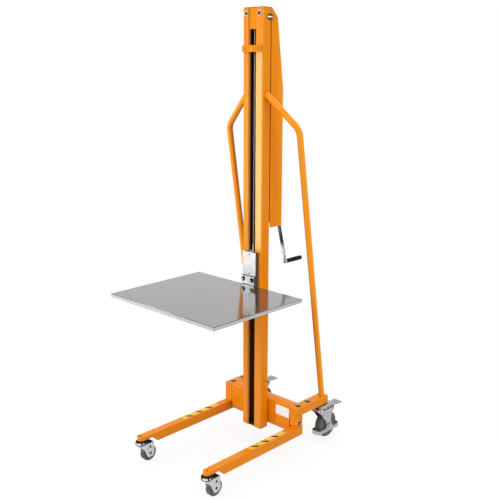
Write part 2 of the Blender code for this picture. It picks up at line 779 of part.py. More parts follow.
def build_winch_frame(root):
    """Plates in front of and behind the drum, joined at the left, with the drum's fixed axle."""
    half = FRAME_HALF_WIDTH
    inner = half - FRAME_PLATE
    rear = FRAME_REAR + FRAME_PLATE
    plan = [
        (-half, FRAME_FRONT),
        (half, FRAME_FRONT),
        (half, FRAME_FRONT + FRAME_PLATE),
        (-inner, FRAME_FRONT + FRAME_PLATE),
        (-inner, FRAME_REAR),
        (half, FRAME_REAR),
        (half, rear),
        (-half, rear),
    ]
    low = CRANK_HEIGHT - FRAME_MARGIN
    high = DRUM_HEIGHT + DRUM_FLANGE_RADIUS + FRAME_TOP_MARGIN
    mesh = outline_mesh("winch_frame", [plan], high - low, "XY", (high + low) / 2)
    frame = make_part("winch_frame", mesh, "zinc_steel", root)
    start = FRAME_FRONT + FRAME_PLATE / 2
    end = FRAME_REAR + FRAME_PLATE / 2
    axle = rod_mesh("drum_axle", DRUM_SHAFT_RADIUS, start, end, 16)
    join(frame, make_tool("drum_axle", axle, frame, (0, 0, DRUM_HEIGHT), ALONG["Y"]))
    bore = PINION_SHAFT_RADIUS + FIT
    drill(frame, "pinion_bores", (0, 0, CRANK_HEIGHT), "Y", bore, 0.0, 2 * rear)
    return frame


def build_drum(root):
    axis = make_empty("drum_axis", root, (0, DRUM_MIDDLE, DRUM_HEIGHT))
    half = DRUM_LENGTH / 2
    inner = half - DRUM_FLANGE
    bore = DRUM_SHAFT_RADIUS + FIT
    profile = [
        (DRUM_FLANGE_RADIUS, half),
        (DRUM_FLANGE_RADIUS, inner),
        (DRUM_RADIUS, inner),
        (DRUM_RADIUS, -inner),
        (DRUM_FLANGE_RADIUS, -inner),
        (DRUM_FLANGE_RADIUS, -half),
        (bore, -half),
        (bore, half),
    ]
    smooth(turned_part("rope_drum", profile, True, "Y", 24, "steel", axis, (0, 0, 0)))
    bore_points = arc((0, 0), bore, 0, 337.5, 15)
    gear_middle = GEAR_FRONT + GEAR_THICKNESS / 2 - DRUM_MIDDLE
    outlines = [gear_outline(GEAR_TEETH, -90), bore_points]
    mesh = outline_mesh("drum_gear", outlines, GEAR_THICKNESS, "XZ", gear_middle)
    make_part("drum_gear", mesh, "steel", axis)


def build_pinion_shaft(root, axis):
    """Shaft with pinion teeth, ratchet wheel, shoulder and the nut that holds the crank."""
    origin = CRANK_FRONT
    front = FRAME_FRONT + 0.001 - origin
    shoulder_front = RATCHET_FRONT + RATCHET_THICKNESS / 2 - origin
    shoulder_rear = CRANK_FRONT - FIT - origin
    nut_front = CRANK_REAR + FIT - origin
    profile = [
        (0.0, nut_front + 0.001),
        (PINION_SHAFT_RADIUS, nut_front + 0.001),
        (PINION_SHAFT_RADIUS, shoulder_rear),
        (SHOULDER_RADIUS, shoulder_rear),
        (SHOULDER_RADIUS, shoulder_front),
        (PINION_SHAFT_RADIUS, shoulder_front),
        (PINION_SHAFT_RADIUS, front),
        (0.0, front),
    ]
    shaft = turned_part(
        "pinion_shaft", profile, False, "Y", 12, "steel", axis, (0, 0, 0)
    )
    pinion_middle = GEAR_FRONT + GEAR_THICKNESS / 2 - origin
    teeth = gear_outline(PINION_TEETH, 90 + 180 / PINION_TEETH)
    pinion = outline_mesh("pinion_teeth", [teeth], GEAR_THICKNESS, "XZ", pinion_middle)
    join(shaft, make_tool("pinion_teeth", pinion, shaft))
    ratchet_points = []
    for tooth in range(RATCHET_TEETH):
        middle = math.radians(7) + 2 * math.pi * tooth / RATCHET_TEETH
        after = middle + 1.6 * math.pi / RATCHET_TEETH
        for radius, angle in ((RATCHET_RADIUS, middle), (0.82 * RATCHET_RADIUS, after)):
            ratchet_points.append((radius * math.cos(angle), radius * math.sin(angle)))
    ratchet_middle = RATCHET_FRONT + RATCHET_THICKNESS / 2 - origin
    ratchet = outline_mesh("ratchet", [ratchet_points], RATCHET_THICKNESS, "XZ", ratchet_middle)
    join(shaft, make_tool("ratchet", ratchet, shaft))
    nut = rod_mesh("shaft_nut", SHAFT_NUT_RADIUS, nut_front, nut_front + SHAFT_NUT_HEIGHT, 6)
    join(shaft, make_tool("shaft_nut", nut, shaft, (0, 0, 0), ALONG["Y"]))
    return shaft


def build_crank(root):
    """Arm hanging from the shaft, leaning to the right by the tilt, with its turning grip."""
    axis = make_empty("crank_axis", root, (0, CRANK_FRONT, CRANK_HEIGHT))
    build_pinion_shaft(root, axis)
    tip = (CRANK_RADIUS * math.sin(CRANK_TILT), -CRANK_RADIUS * math.cos(CRANK_TILT))
    half = CRANK_ARM_WIDTH / 2
    lean = math.degrees(CRANK_TILT)
    hub_open = math.degrees(math.asin(half / CRANK_HUB_RADIUS))
    tip_open = math.degrees(math.asin(half / CRANK_TIP_RADIUS))
    down = lean - 90
    outline = arc((0, 0), CRANK_HUB_RADIUS, down + hub_open, down + 360 - hub_open, 14)
    outline += arc(tip, CRANK_TIP_RADIUS, down - 180 + tip_open, down + 180 - tip_open, 12)
    bore = arc((0, 0), PINION_SHAFT_RADIUS + FIT, 0, 337.5, 15)
    middle = CRANK_THICKNESS / 2
    mesh = outline_mesh("crank_arm", [outline, bore], CRANK_THICKNESS, "XZ", middle)
    arm = make_part("crank_arm", mesh, "steel", axis)
    pin_end = CRANK_THICKNESS + GRIP_LENGTH - GRIP_END_WALL
    pin = rod_mesh("grip_pin", GRIP_PIN_RADIUS, CRANK_THICKNESS / 2, pin_end, 12)
    join(arm, make_tool("grip_pin", pin, arm, (tip[0], 0, tip[1]), ALONG["Y"]))

    grip_axis = make_empty("grip_axis", axis, (tip[0], GRIP_FRONT - CRANK_FRONT, tip[1]))
    bore_radius = GRIP_PIN_RADIUS + FIT
    bore_end = GRIP_LENGTH - GRIP_END_WALL
    profile = [
        (0.0, GRIP_LENGTH),
        (GRIP_RADIUS * 0.6, GRIP_LENGTH),
        (GRIP_RADIUS * 0.92, GRIP_LENGTH - 0.002),
        (GRIP_RADIUS, GRIP_LENGTH - 0.006),
        (GRIP_RADIUS, GRIP_LENGTH * 0.55),
        (GRIP_RADIUS * 0.94, GRIP_LENGTH * 0.25),
        (GRIP_RADIUS * 0.94, 0.0025),
        (GRIP_RADIUS * 0.80, 0.0),
        (bore_radius, 0.0),
        (bore_radius, bore_end),
        (0.0, bore_end),
    ]
    smooth(turned_part("crank_grip", profile, False, "Y", 16, "black_grip", grip_axis, (0, 0, 0)))


def build_rope(root):
    """Front run down to the carriage, and the run over the pulley and down to the drum."""
    top = PULLEY_Z - FIT
    bottom = PLATFORM_HEIGHT + CORE_TOP + FERRULE_LENGTH + 2 * FIT
    front = [(0, ROPE_FRONT_Y, top), (0, FERRULE_Y, bottom)]
    make_part("lift_rope_front", tube_mesh("lift_rope_front", front, ROPE_RADIUS, 2), "wire_rope", root)
    over = []
    for y, z in arc((PULLEY_Y, PULLEY_Z), PULLEY_ROPE_RADIUS, 180, 0, 15):
        over.append((0, y, z))
    over.append((ROPE_ON_DRUM, DRUM_MIDDLE, DRUM_HEIGHT))
    make_part("lift_rope_rear", tube_mesh("lift_rope_rear", over, ROPE_RADIUS, 2), "wire_rope", root)


def build_carriage(root):
    carriage = make_empty("carriage", root, (0, 0, PLATFORM_HEIGHT))
    half = CORE_WIDTH / 2
    core_front = BLOCK_REAR + FIT
    core_rear = MAST_DEPTH - MAST_WALL - CORE_REAR_GAP
    core_mesh = box_mesh(
        "carriage_core", (-half, core_front, CORE_BOTTOM), (half, core_rear, CORE_TOP)
    )
    core = make_part("carriage_core", core_mesh, "steel", carriage)
    reach = ROLLER_MIDDLE + ROLLER_WIDTH / 2 + 0.002
    for height, word in ((LOWER_ROLLER, "lower"), (UPPER_ROLLER, "upper")):
        axle = rod_mesh(word + "_axle", ROLLER_AXLE_RADIUS, -reach, reach, 16)
        place = (0, MAST_DEPTH / 2, height)
        join(core, make_tool(word + "_axle", axle, core, place, ALONG["X"]))
        for side, side_word in ((-1, "left"), (1, "right")):
            build_roller(carriage, word + "_roller_" + side_word, side * ROLLER_MIDDLE, height)

    block_half = BLOCK_WIDTH / 2
    block_mesh = box_mesh(
        "carriage_block", (-block_half, BLOCK_FRONT, BLOCK_BOTTOM), (block_half, BLOCK_REAR, BLOCK_TOP)
    )
    block = bevel_edges(make_part("carriage_block", block_mesh, "cast_aluminium", carriage), 0.001)
    ferrule = rod_mesh("rope_ferrule", FERRULE_RADIUS, CORE_TOP + FIT, CORE_TOP + FERRULE_LENGTH, 16)
    make_part("rope_ferrule", ferrule, "zinc_steel", carriage, (0, FERRULE_Y, 0))

    bracket = build_bracket(carriage)
    hole = BOLT_SHANK_RADIUS + FIT
    bolt_z = BRACKET_TOP - BRACKET_BOLT_DROP
    for side, word in ((-1, "left"), (1, "right")):
        place = (side * BRACKET_BOLT_SPACING / 2, BRACKET_FRONT, bolt_z)
        drill(bracket, "bracket_hole_" + word, place, "Y", hole, -0.01, 2 * BRACKET_THICKNESS)
        depth = BOLT_SHANK_LENGTH + 0.002
        drill(block, "block_hole_" + word, place, "Y", hole, BRACKET_THICKNESS / 2, depth)
        seat = (place[0], BRACKET_FRONT - FIT, bolt_z)
        hex_bolt("bracket_bolt_" + word, carriage, seat, "Y", -1)
    build_platform(carriage)
    return carriage


def build_roller(carriage, name, x, height):
    axis = make_empty(name + "_axis", carriage, (x, MAST_DEPTH / 2, height))
    half = ROLLER_WIDTH / 2
    bore = ROLLER_AXLE_RADIUS + FIT
    profile = [(ROLLER_RADIUS, half), (ROLLER_RADIUS, -half), (bore, -half), (bore, half)]
    return smooth(turned_part(name, profile, True, "X", 24, "black_nylon", axis, (0, 0, 0)))


def build_bracket(carriage):
    """Angle: upright against the carriage block, foot under the platform frame."""
    foot_top = -PLATFORM_LIP - FIT
    foot_bottom = foot_top - BRACKET_THICKNESS
    foot_front = BRACKET_FRONT - BRACKET_FOOT
    points = [
        (foot_front, foot_bottom),
        (BRACKET_REAR, foot_bottom),
        (BRACKET_REAR, BRACKET_TOP),
        (BRACKET_FRONT, BRACKET_TOP),
        (BRACKET_FRONT, foot_top),
        (foot_front, foot_top),
    ]
    mesh = outline_mesh("platform_bracket", [points], BRACKET_WIDTH, "YZ")
    return make_part("platform_bracket", mesh, "cast_aluminium", carriage)


def build_platform(carriage):
    half = PLATFORM_WIDTH / 2
    sheet_mesh = bpy.data.meshes.new("platform")
    shape = bmesh.new()
    bmesh.ops.create_cube(shape, size=1.0)
    middle = (PLATFORM_FRONT + PLATFORM_BACK) / 2
    size = Matrix.Diagonal((PLATFORM_WIDTH, PLATFORM_DEPTH, PLATFORM_LIP, 1.0))
    place = Matrix.Translation((0, middle, -PLATFORM_LIP / 2))
    bmesh.ops.transform(shape, matrix=place @ size, verts=shape.verts)
    underside = [face for face in shape.faces if face.normal.z < -0.5]
    bmesh.ops.delete(shape, geom=underside, context="FACES_ONLY")
    shape.to_mesh(sheet_mesh)
    shape.free()
    platform = make_part("platform", sheet_mesh, "bright_sheet", carriage)
    shell = platform.modifiers.new("sheet", "SOLIDIFY")
    shell.thickness = PLATFORM_SHEET
    shell.offset = -1.0
    shell.use_even_offset = True

    rail_back = PLATFORM_BACK - PLATFORM_SHEET - 0.002
    rail_front = rail_back - FRAME_RAIL_DEPTH
    arm_front = rail_back - FRAME_ARM_LENGTH
    rail_half = min(FRAME_RAIL_WIDTH, 2 * half) / 2
    inner = (FRAME_ARM_SPACING - FRAME_ARM_WIDTH) / 2
    outer = (FRAME_ARM_SPACING + FRAME_ARM_WIDTH) / 2
    points = [
        (-rail_half, rail_back),
        (-rail_half, rail_front),
        (-outer, rail_front),
        (-outer, arm_front),
        (-inner, arm_front),
        (-inner, rail_front),
        (inner, rail_front),
        (inner, arm_front),
        (outer, arm_front),
        (outer, rail_front),
        (rail_half, rail_front),
        (rail_half, rail_back),
    ]
    top = -PLATFORM_SHEET - FIT
    thickness = PLATFORM_LIP - PLATFORM_SHEET - FIT
    mesh = outline_mesh("platform_frame", [points], thickness, "XY", top - thickness / 2)
    make_part("platform_frame", mesh, "zinc_steel", carriage)


def build_base(root):
    spacer_top = BASE_TOP - (BEAM_HEIGHT - SPACER_HEIGHT) / 2
    half = SPACER_WIDTH / 2
    spacer = box_mesh(
        "mast_spacer",
        (-half, MAST_DEPTH + FIT, spacer_top - SPACER_HEIGHT),
        (half, BEAM_FRONT - FIT, spacer_top),
    )
    make_part("mast_spacer", spacer, "orange_paint", root)

    inner_side = BASE_HALF - max(ARM_WIDTH, LEG_BRACKET_WIDTH) - FIT
    middle = (BEAM_FRONT + BEAM_DEPTH / 2, BASE_TOP - BEAM_HEIGHT / 2)
    outer = rounded_rectangle(BEAM_DEPTH, BEAM_HEIGHT, BEAM_CORNER, 2, middle)
    hollow = rounded_rectangle(
        BEAM_DEPTH - 2 * BEAM_WALL, BEAM_HEIGHT - 2 * BEAM_WALL, BEAM_CORNER / 2, 2, middle
    )
    mesh = outline_mesh("cross_beam", [outer, hollow], 2 * inner_side, "YZ")
    make_part("cross_beam", mesh, "orange_paint", root)
    for side, word in ((-1, "left"), (1, "right")):
        build_base_side(root, side, word)


def side_box(name, side, inner, outer, low, high):
    """A box on one side; low and high are (y, z) corners."""
    near = min(side * inner, side * outer)
    far = max(side * inner, side * outer)
    return box_mesh(name, (near, low[0], low[1]), (far, high[0], high[1]))


def build_base_side(root, side, word):
    hole = BOLT_SHANK_RADIUS + FIT
    drilled = BOLT_SHANK_LENGTH + 0.002

    name = "rear_arm_" + word
    arm_mesh = side_box(
        name, side, BASE_HALF - ARM_WIDTH, BASE_HALF, (BEAM_FRONT, ARM_BOTTOM), (ARM_REAR, BASE_TOP)
    )
    arm = bevel_edges(make_part(name, arm_mesh, "orange_paint", root), EDGE)
    for number, offset in enumerate(ARM_BOLT_OFFSETS, 1):
        place = (side * ARM_MIDDLE, BEAM_FRONT + offset, BASE_TOP)
        label = "arm_bolt_" + word + "_" + str(number)
        drill(arm, label + "_hole", place, "Z", hole, -drilled, 0.01, 12)
        hex_bolt(label, root, (place[0], place[1], BASE_TOP + FIT), "Z")

    name = "leg_bracket_" + word
    low = (BEAM_FRONT, LEG_TOP + FIT)
    high = (LEG_REAR, ARM_BOTTOM - FIT)
    inner = BASE_HALF - LEG_BRACKET_WIDTH
    bracket_mesh = side_box(name, side, inner, BASE_HALF, low, high)
    bracket = bevel_edges(make_part(name, bracket_mesh, "orange_paint", root), EDGE)
    place = (side * BASE_HALF, BEAM_FRONT + LEG_BRACKET_DEPTH / 2, BRACKET_BOLT_HEIGHT)
    if side > 0:
        drill(bracket, name + "_hole", place, "X", hole, -drilled, 0.01, 12)
    else:
        drill(bracket, name + "_hole", place, "X", hole, -0.01, drilled, 12)
    seat = (side * (BASE_HALF + FIT), place[1], place[2])
    hex_bolt("side_bolt_" + word, root, seat, "X", side)

    build_leg(root, side, word)
    build_handle(root, side, word)


def build_leg(root, side, word):
    """Box-section leg; its front is cut away below to a round-ended tongue over the castor."""
    tip = -FRONT_SWIVEL_REACH - LEG_WIDTH / 2
    tongue_rear = tip + LEG_TONGUE_LENGTH
    points = [
        (tip, TONGUE_BOTTOM),
        (tongue_rear, TONGUE_BOTTOM),
        (tongue_rear + LEG_CUT_LENGTH, LEG_BOTTOM),
        (LEG_REAR, LEG_BOTTOM),
        (LEG_REAR, LEG_TOP),
        (tip, LEG_TOP),
    ]
    name = "leg_" + word
    mesh = outline_mesh(name, [points], LEG_WIDTH, "YZ", side * LEG_MIDDLE)
    shape = bmesh.new()
    shape.from_mesh(mesh)
    tip_edges = []
    for edge in shape.edges:
        upright = abs(edge.verts[0].co.z - edge.verts[1].co.z) > LEG_TONGUE / 2
        if upright and all(abs(spot.co.y - tip) < 0.0001 for spot in edge.verts):
            tip_edges.append(edge)
    bmesh.ops.bevel(
        shape, geom=tip_edges, offset=LEG_WIDTH / 2 - 0.0002, segments=6, profile=0.5, affect="EDGES"
    )
    shape.to_mesh(mesh)
    shape.free()
    leg = make_part(name, mesh, "orange_paint", root)
    place = (side * LEG_MIDDLE, -FRONT_SWIVEL_REACH, LEG_TOP)
    drill(leg, name + "_stem_hole", place, "Z", STEM_RADIUS + FIT, -2 * LEG_TONGUE, LEG_TONGUE)
    return leg


def bend(corner, before, after, radius, steps):
    """Points of a round bend that replaces the corner between two straight runs."""
    corner = Vector(corner)
    towards = (Vector(before) - corner).normalized()
    away = (Vector(after) - corner).normalized()
    half_angle = towards.angle(away) / 2
    reach = radius / math.tan(half_angle)
    bisector = (towards + away).normalized()
    centre = corner + bisector * (radius / math.sin(half_angle))
    first = corner + towards * reach - centre
    last = corner + away * reach - centre
    points = []
    for i in range(steps + 1):
        share = i / steps
        spread = first.angle(last)
        blend = first * math.sin((1 - share) * spread) + last * math.sin(share * spread)
        points.append(tuple(centre + blend / math.sin(spread)))
    return points


def build_handle(root, side, word):
    """Bent round tube from the rear arm's end up to the side of the mast."""
    x = side * ARM_MIDDLE
    foot = (x, ARM_REAR - HANDLE_FOOT_INSET, BASE_TOP)
    corner = (x, HANDLE_BEND_SETBACK, HANDLE_BEND_HEIGHT)
    top = (side * MAST_HALF, MAST_DEPTH / 2, HANDLE_TOP)
    below = Vector(foot) + (Vector(foot) - Vector(corner)).normalized() * 0.03
    inside = Vector(top) + (Vector(top) - Vector(corner)).normalized() * 0.03
    points = [tuple(below)]
    points += bend(corner, foot, top, HANDLE_BEND_RADIUS, 6)
    points.append(tuple(inside))
    name = "handle_" + word
    handle = make_part(name, tube_mesh(name, points, HANDLE_RADIUS, 6), "orange_paint", root)
    margin = 0.1
    floor_mesh = box_mesh(
        name + "_floor",
        (x - margin, foot[1] - margin, BASE_TOP - margin),
        (x + margin, foot[1] + margin, BASE_TOP + FIT),
    )
    cut(handle, make_tool(name + "_floor", floor_mesh, handle))
    face = MAST_HALF + FIT
    wall_mesh = side_box(
        name + "_wall", side, face - margin, face, (-margin, HANDLE_TOP - margin),
        (margin + MAST_DEPTH, HANDLE_TOP + margin),
    )
    cut(handle, make_tool(name + "_wall", wall_mesh, handle))
    return smooth(handle)


def wheel_profile(radius, width, bore):
    """Rubber tyre, a recessed web and a hub, down the outer side first."""
    half = width / 2
    rim = radius * 0.68
    hub = radius * 0.30
    web = half * 0.45
    crown = radius * 0.03
    side = [
        (hub, half),
        (hub * 1.12, web),
        (rim * 0.92, web),
        (rim, half * 0.92),
        (radius - 2 * crown, half * 0.92),
        (radius, half * 0.50),
    ]
    mirrored = [(r, -h) for r, h in reversed(side)]
    return side + mirrored + [(bore, -half), (bore, half)]


def build_front_castor(root, side, word):
    """Stem fixed in the leg, swivelling fork under a dust ring, and its wheel."""
    place = (side * LEG_MIDDLE, -FRONT_SWIVEL_REACH, 0)
    swivel = make_empty("front_swivel_" + word, root, place)
    flange_top = TONGUE_BOTTOM - FIT
    ring_top = FRONT_CROWN_BOTTOM + FRONT_CROWN - 0.0005 + FRONT_RING_HEIGHT
    stem_bottom = FRONT_CROWN_BOTTOM + 0.002
    stem_top = LEG_TOP - 0.003
    profile = [
        (0.0, stem_top),
        (STEM_RADIUS, stem_top),
        (STEM_RADIUS, flange_top),
        (STEM_FLANGE_RADIUS, flange_top),
        (STEM_FLANGE_RADIUS, ring_top + FIT),
        (STEM_RADIUS, ring_top + FIT),
        (STEM_RADIUS, stem_bottom),
        (0.0, stem_bottom),
    ]
    name = "front_stem_" + word
    smooth(turned_part(name, profile, False, "Z", 20, "zinc_steel", root, place))

    build_front_fork(swivel, word)
    axle_z = FRONT_WHEEL_RADIUS
    wheel_axis = make_empty("front_axle_" + word, swivel, (0, FRONT_TRAIL, axle_z))
    profile = wheel_profile(FRONT_WHEEL_RADIUS, FRONT_WHEEL_WIDTH, FRONT_AXLE_RADIUS + FIT)
    name = "front_wheel_" + word
    smooth(turned_part(name, profile, True, "X", 24, "grey_rubber", wheel_axis, (0, 0, 0)))


def build_front_fork(swivel, word):
    """Bent plate fork and its axle, joined to the round dust ring above."""
    name = "front_fork_" + word
    crown_top = FRONT_CROWN_BOTTOM + FRONT_CROWN
    ring_bottom = crown_top - 0.0005
    ring_top = ring_bottom + FRONT_RING_HEIGHT
    profile = [
        (0.0, ring_top),
        (FRONT_RING_RADIUS * 0.92, ring_top - 0.001),
        (FRONT_RING_RADIUS, ring_top - 0.005),
        (FRONT_RING_RADIUS * 0.97, ring_bottom + 0.004),
        (FRONT_RING_RADIUS * 0.82, ring_bottom),
        (0.0, ring_bottom),
    ]
    fork = turned_part(name, profile, False, "Z", 24, "dark_chrome", swivel, (0, 0, 0))
    half = FRONT_FORK_HALF
    axle_z = FRONT_WHEEL_RADIUS
    side_points = [
        (FRONT_CROWN_REAR, crown_top),
        (FRONT_CROWN_FRONT, crown_top),
        (FRONT_CROWN_FRONT, crown_top - FRONT_CROWN_EDGE),
    ]
    side_points += FRONT_FORK_EDGE
    sides = outline_mesh(name + "_plate", [side_points], 2 * half, "YZ")
    plate = make_tool(name + "_plate", sides, fork)
    inner = half - FRONT_CHEEK
    room = box_mesh(name + "_room", (-inner, -0.05, 0.0), (inner, 0.1, FRONT_CROWN_BOTTOM))
    cut(plate, make_tool(name + "_room", room, plate))
    join(fork, plate)
    reach = half + 0.0005
    axle = rod_mesh(name + "_axle", FRONT_AXLE_RADIUS, -reach, reach, 12)
    join(fork, make_tool(name + "_axle", axle, fork, (0, FRONT_TRAIL, axle_z), ALONG["X"]))
    bore = STEM_RADIUS + FIT
    drill(fork, name + "_bore", (0, 0, 0), "Z", bore, FRONT_CROWN_BOTTOM - 0.01, ring_top + 0.01, 12)
    return fork


def build_rear_castor(root, side, word):
    """Top plate under the rear arm, fork with axle, wheel, foot guard and brake pedal."""
    place = (side * ARM_MIDDLE, REAR_SWIVEL_BACK, 0)
    half_width = REAR_PLATE_WIDTH / 2
    half_length = REAR_PLATE_LENGTH / 2
    plate_bottom = REAR_PLATE_TOP - REAR_PLATE_THICKNESS
    name = "rear_plate_" + word
    plate_mesh = box_mesh(
        name, (-half_width, -half_length, plate_bottom), (half_width, half_length, REAR_PLATE_TOP)
    )
    plate = make_part(name, plate_mesh, "zinc_steel", root, place)
    kingpin_bottom = REAR_CROWN_TOP - REAR_CROWN
    pin_mesh = rod_mesh(name + "_pin", REAR_KINGPIN_RADIUS, kingpin_bottom, plate_bottom + 0.001, 16)
    join(plate, make_tool(name + "_pin", pin_mesh, plate, place))

    swivel = make_empty("rear_swivel_" + word, root, place)
    build_rear_fork(swivel, word)
    axle_z = REAR_WHEEL_RADIUS
    wheel_axis = make_empty("rear_axle_" + word, swivel, (0, REAR_TRAIL, axle_z))
    profile = wheel_profile(REAR_WHEEL_RADIUS, REAR_WHEEL_WIDTH, REAR_AXLE_RADIUS + FIT)
    name = "rear_wheel_" + word
    smooth(turned_part(name, profile, True, "X", 28, "grey_rubber", wheel_axis, (0, 0, 0)))

    outer = rounded_rectangle(2 * GUARD_HALF_WIDTH, GUARD_LENGTH, GUARD_CORNER, 3)
    inner = rounded_rectangle(
        2 * (GUARD_HALF_WIDTH - GUARD_THICKNESS),
        GUARD_LENGTH - 2 * GUARD_THICKNESS,
        GUARD_CORNER - GUARD_THICKNESS,
        3,
    )
    name = "foot_guard_" + word
    mesh = outline_mesh(name, [outer, inner], GUARD_HEIGHT, "XY", -GUARD_DROP)
    guard = make_part(name, mesh, "zinc_steel", swivel, (0, REAR_TRAIL, axle_z))
    place = (0, REAR_TRAIL, axle_z)
    ear_foot = -GUARD_DROP
    ear = [
        (-GUARD_EAR_FOOT, ear_foot),
        (GUARD_EAR_FOOT, ear_foot),
        (GUARD_EAR_HALF, GUARD_EAR_TOP),
        (-GUARD_EAR_HALF, GUARD_EAR_TOP),
    ]
    for sign, sign_word in ((-1, "left"), (1, "right")):
        label = name + "_ear_" + sign_word
        offset = sign * (GUARD_HALF_WIDTH - GUARD_THICKNESS / 2)
        ear_mesh = outline_mesh(label, [ear], GUARD_THICKNESS, "YZ", offset)
        join(guard, make_tool(label, ear_mesh, guard, place))
    drill(guard, name + "_holes", place, "X", REAR_AXLE_RADIUS + FIT, -0.05, 0.05, 12)
    build_brake_pedal(swivel, word)


def build_rear_fork(swivel, word):
    """Round swivel head over a bent plate fork that also carries the axle and the pedal's pin."""
    name = "rear_fork_" + word
    head_bottom = REAR_CROWN_TOP - 0.0005
    profile = [
        (0.0, REAR_HEAD_TOP),
        (REAR_HEAD_RADIUS * 0.95, REAR_HEAD_TOP - 0.0015),
        (REAR_HEAD_RADIUS, REAR_HEAD_TOP - 0.006),
        (REAR_HEAD_RADIUS * 0.92, head_bottom),
        (0.0, head_bottom),
    ]
    fork = turned_part(name, profile, False, "Z", 28, "zinc_steel", swivel, (0, 0, 0))
    half = REAR_FORK_HALF
    crown_bottom = REAR_CROWN_TOP - REAR_CROWN
    axle_z = REAR_WHEEL_RADIUS
    hinge = (PEDAL_HINGE_BACK, PEDAL_HINGE_Z)
    points = [(REAR_CROWN_REAR, REAR_CROWN_TOP), (REAR_CROWN_FRONT, REAR_CROWN_TOP)]
    points += REAR_FORK_FRONT_EDGE
    points += arc((REAR_TRAIL, axle_z), REAR_AXLE_BOSS, 180, 360, 7)
    points += REAR_FORK_REAR_EDGE
    points += arc(hinge, PEDAL_LUG_RADIUS, -20, 80, 4)
    sides = outline_mesh(name + "_plate", [points], 2 * half, "YZ")
    plate = make_tool(name + "_plate", sides, fork)
    room_points = [
        (-0.10, 0.0),
        (0.15, 0.0),
        (0.15, REAR_PLATE_TOP),
        (REAR_CROWN_REAR, REAR_PLATE_TOP),
        (REAR_CROWN_REAR, crown_bottom),
        (-0.10, crown_bottom),
    ]
    room = outline_mesh(name + "_room", [room_points], 2 * (half - REAR_CHEEK), "YZ")
    cut(plate, make_tool(name + "_room", room, plate))
    join(fork, plate)
    nut_seat = GUARD_HALF_WIDTH + FIT
    nut_face = nut_seat + 0.0045
    axle_place = (0, REAR_TRAIL, axle_z)
    axle = rod_mesh(name + "_axle", REAR_AXLE_RADIUS, -nut_seat - 0.001, nut_seat + 0.001, 12)
    join(fork, make_tool(name + "_axle", axle, fork, axle_place, ALONG["X"]))
    for start, end, nut_word in ((nut_seat, nut_face, "right"), (-nut_face, -nut_seat, "left")):
        label = name + "_nut_" + nut_word
        nut = rod_mesh(label, 2 * REAR_AXLE_RADIUS, start, end, 6)
        join(fork, make_tool(label, nut, fork, axle_place, ALONG["X"]))
    pin_reach = half - REAR_CHEEK / 2
    pin = rod_mesh(name + "_pedal_pin", PEDAL_PIN_RADIUS, -pin_reach, pin_reach, 12)
    pin_place = (0, PEDAL_HINGE_BACK, PEDAL_HINGE_Z)
    join(fork, make_tool(name + "_pedal_pin", pin, fork, pin_place, ALONG["X"]))
    bore = REAR_KINGPIN_RADIUS + FIT
    drill(fork, name + "_bore", (0, 0, 0), "Z", bore, crown_bottom - 0.01, REAR_HEAD_TOP + 0.01)
    return fork


def build_brake_pedal(swivel, word):
    """A barrel on the fork's pin with a blade that widens to the rear and turns down at its tip."""
    name = "brake_pedal_" + word
    hinge = make_empty(name + "_hinge", swivel, (0, PEDAL_HINGE_BACK, PEDAL_HINGE_Z))
    half_barrel = PEDAL_BARREL_LENGTH / 2
    bore = PEDAL_PIN_RADIUS + FIT
    profile = [
        (PEDAL_BARREL_RADIUS, half_barrel),
        (PEDAL_BARREL_RADIUS, -half_barrel),
        (bore, -half_barrel),
        (bore, half_barrel),
    ]
    pedal = turned_part(name, profile, True, "X", 16, "zinc_steel", hinge, (0, 0, 0))
    reach = PEDAL_REACH - PEDAL_HINGE_BACK
    start = (PEDAL_BARREL_RADIUS + bore) / 2
    half_tip = PEDAL_WIDTH / 2
    end = (reach - PEDAL_THICKNESS / 2 * math.sin(PEDAL_SLOPE)) / math.cos(PEDAL_SLOPE)
    blade_points = [
        (-half_barrel, start),
        (half_barrel, start),
        (half_barrel, reach * 0.35),
        (half_tip, reach * 0.62),
        (half_tip, end),
        (-half_tip, end),
        (-half_tip, reach * 0.62),
        (-half_barrel, reach * 0.35),
    ]
    blade = outline_mesh(name + "_blade", [blade_points], PEDAL_THICKNESS, "XY")
    join(pedal, make_tool(name + "_blade", blade, pedal, (0, 0, 0), (PEDAL_SLOPE, 0, 0)))
    return pedal


def build_winch_lift():
    root = make_empty("winch_lift", None, (0, FOOTPRINT_SHIFT, 0))
    build_mast(root)
    build_mast_cap(root)
    build_head_insert(root)
    build_stop_bar(root)
    build_pulley(root)
    build_winch_cover(root)
    build_winch_frame(root)
    build_drum(root)
    build_crank(root)
    build_rope(root)
    build_carriage(root)
    build_base(root)
    for side, word in ((-1, "left"), (1, "right")):
        build_front_castor(root, side, word)
        build_rear_castor(root, side, word)


build_winch_lift()
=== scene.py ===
"""Looks of the winch lift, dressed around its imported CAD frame.

Metres, +Z up, -Y the front, +X the right side. Every mesh holds its place in its own vertices, as the
frame's nodes do, so object coordinates are the row's own and a pattern stays on its piece.
"""

import json
import math
import random

import bmesh
import bpy
from mathutils import Matrix, Vector


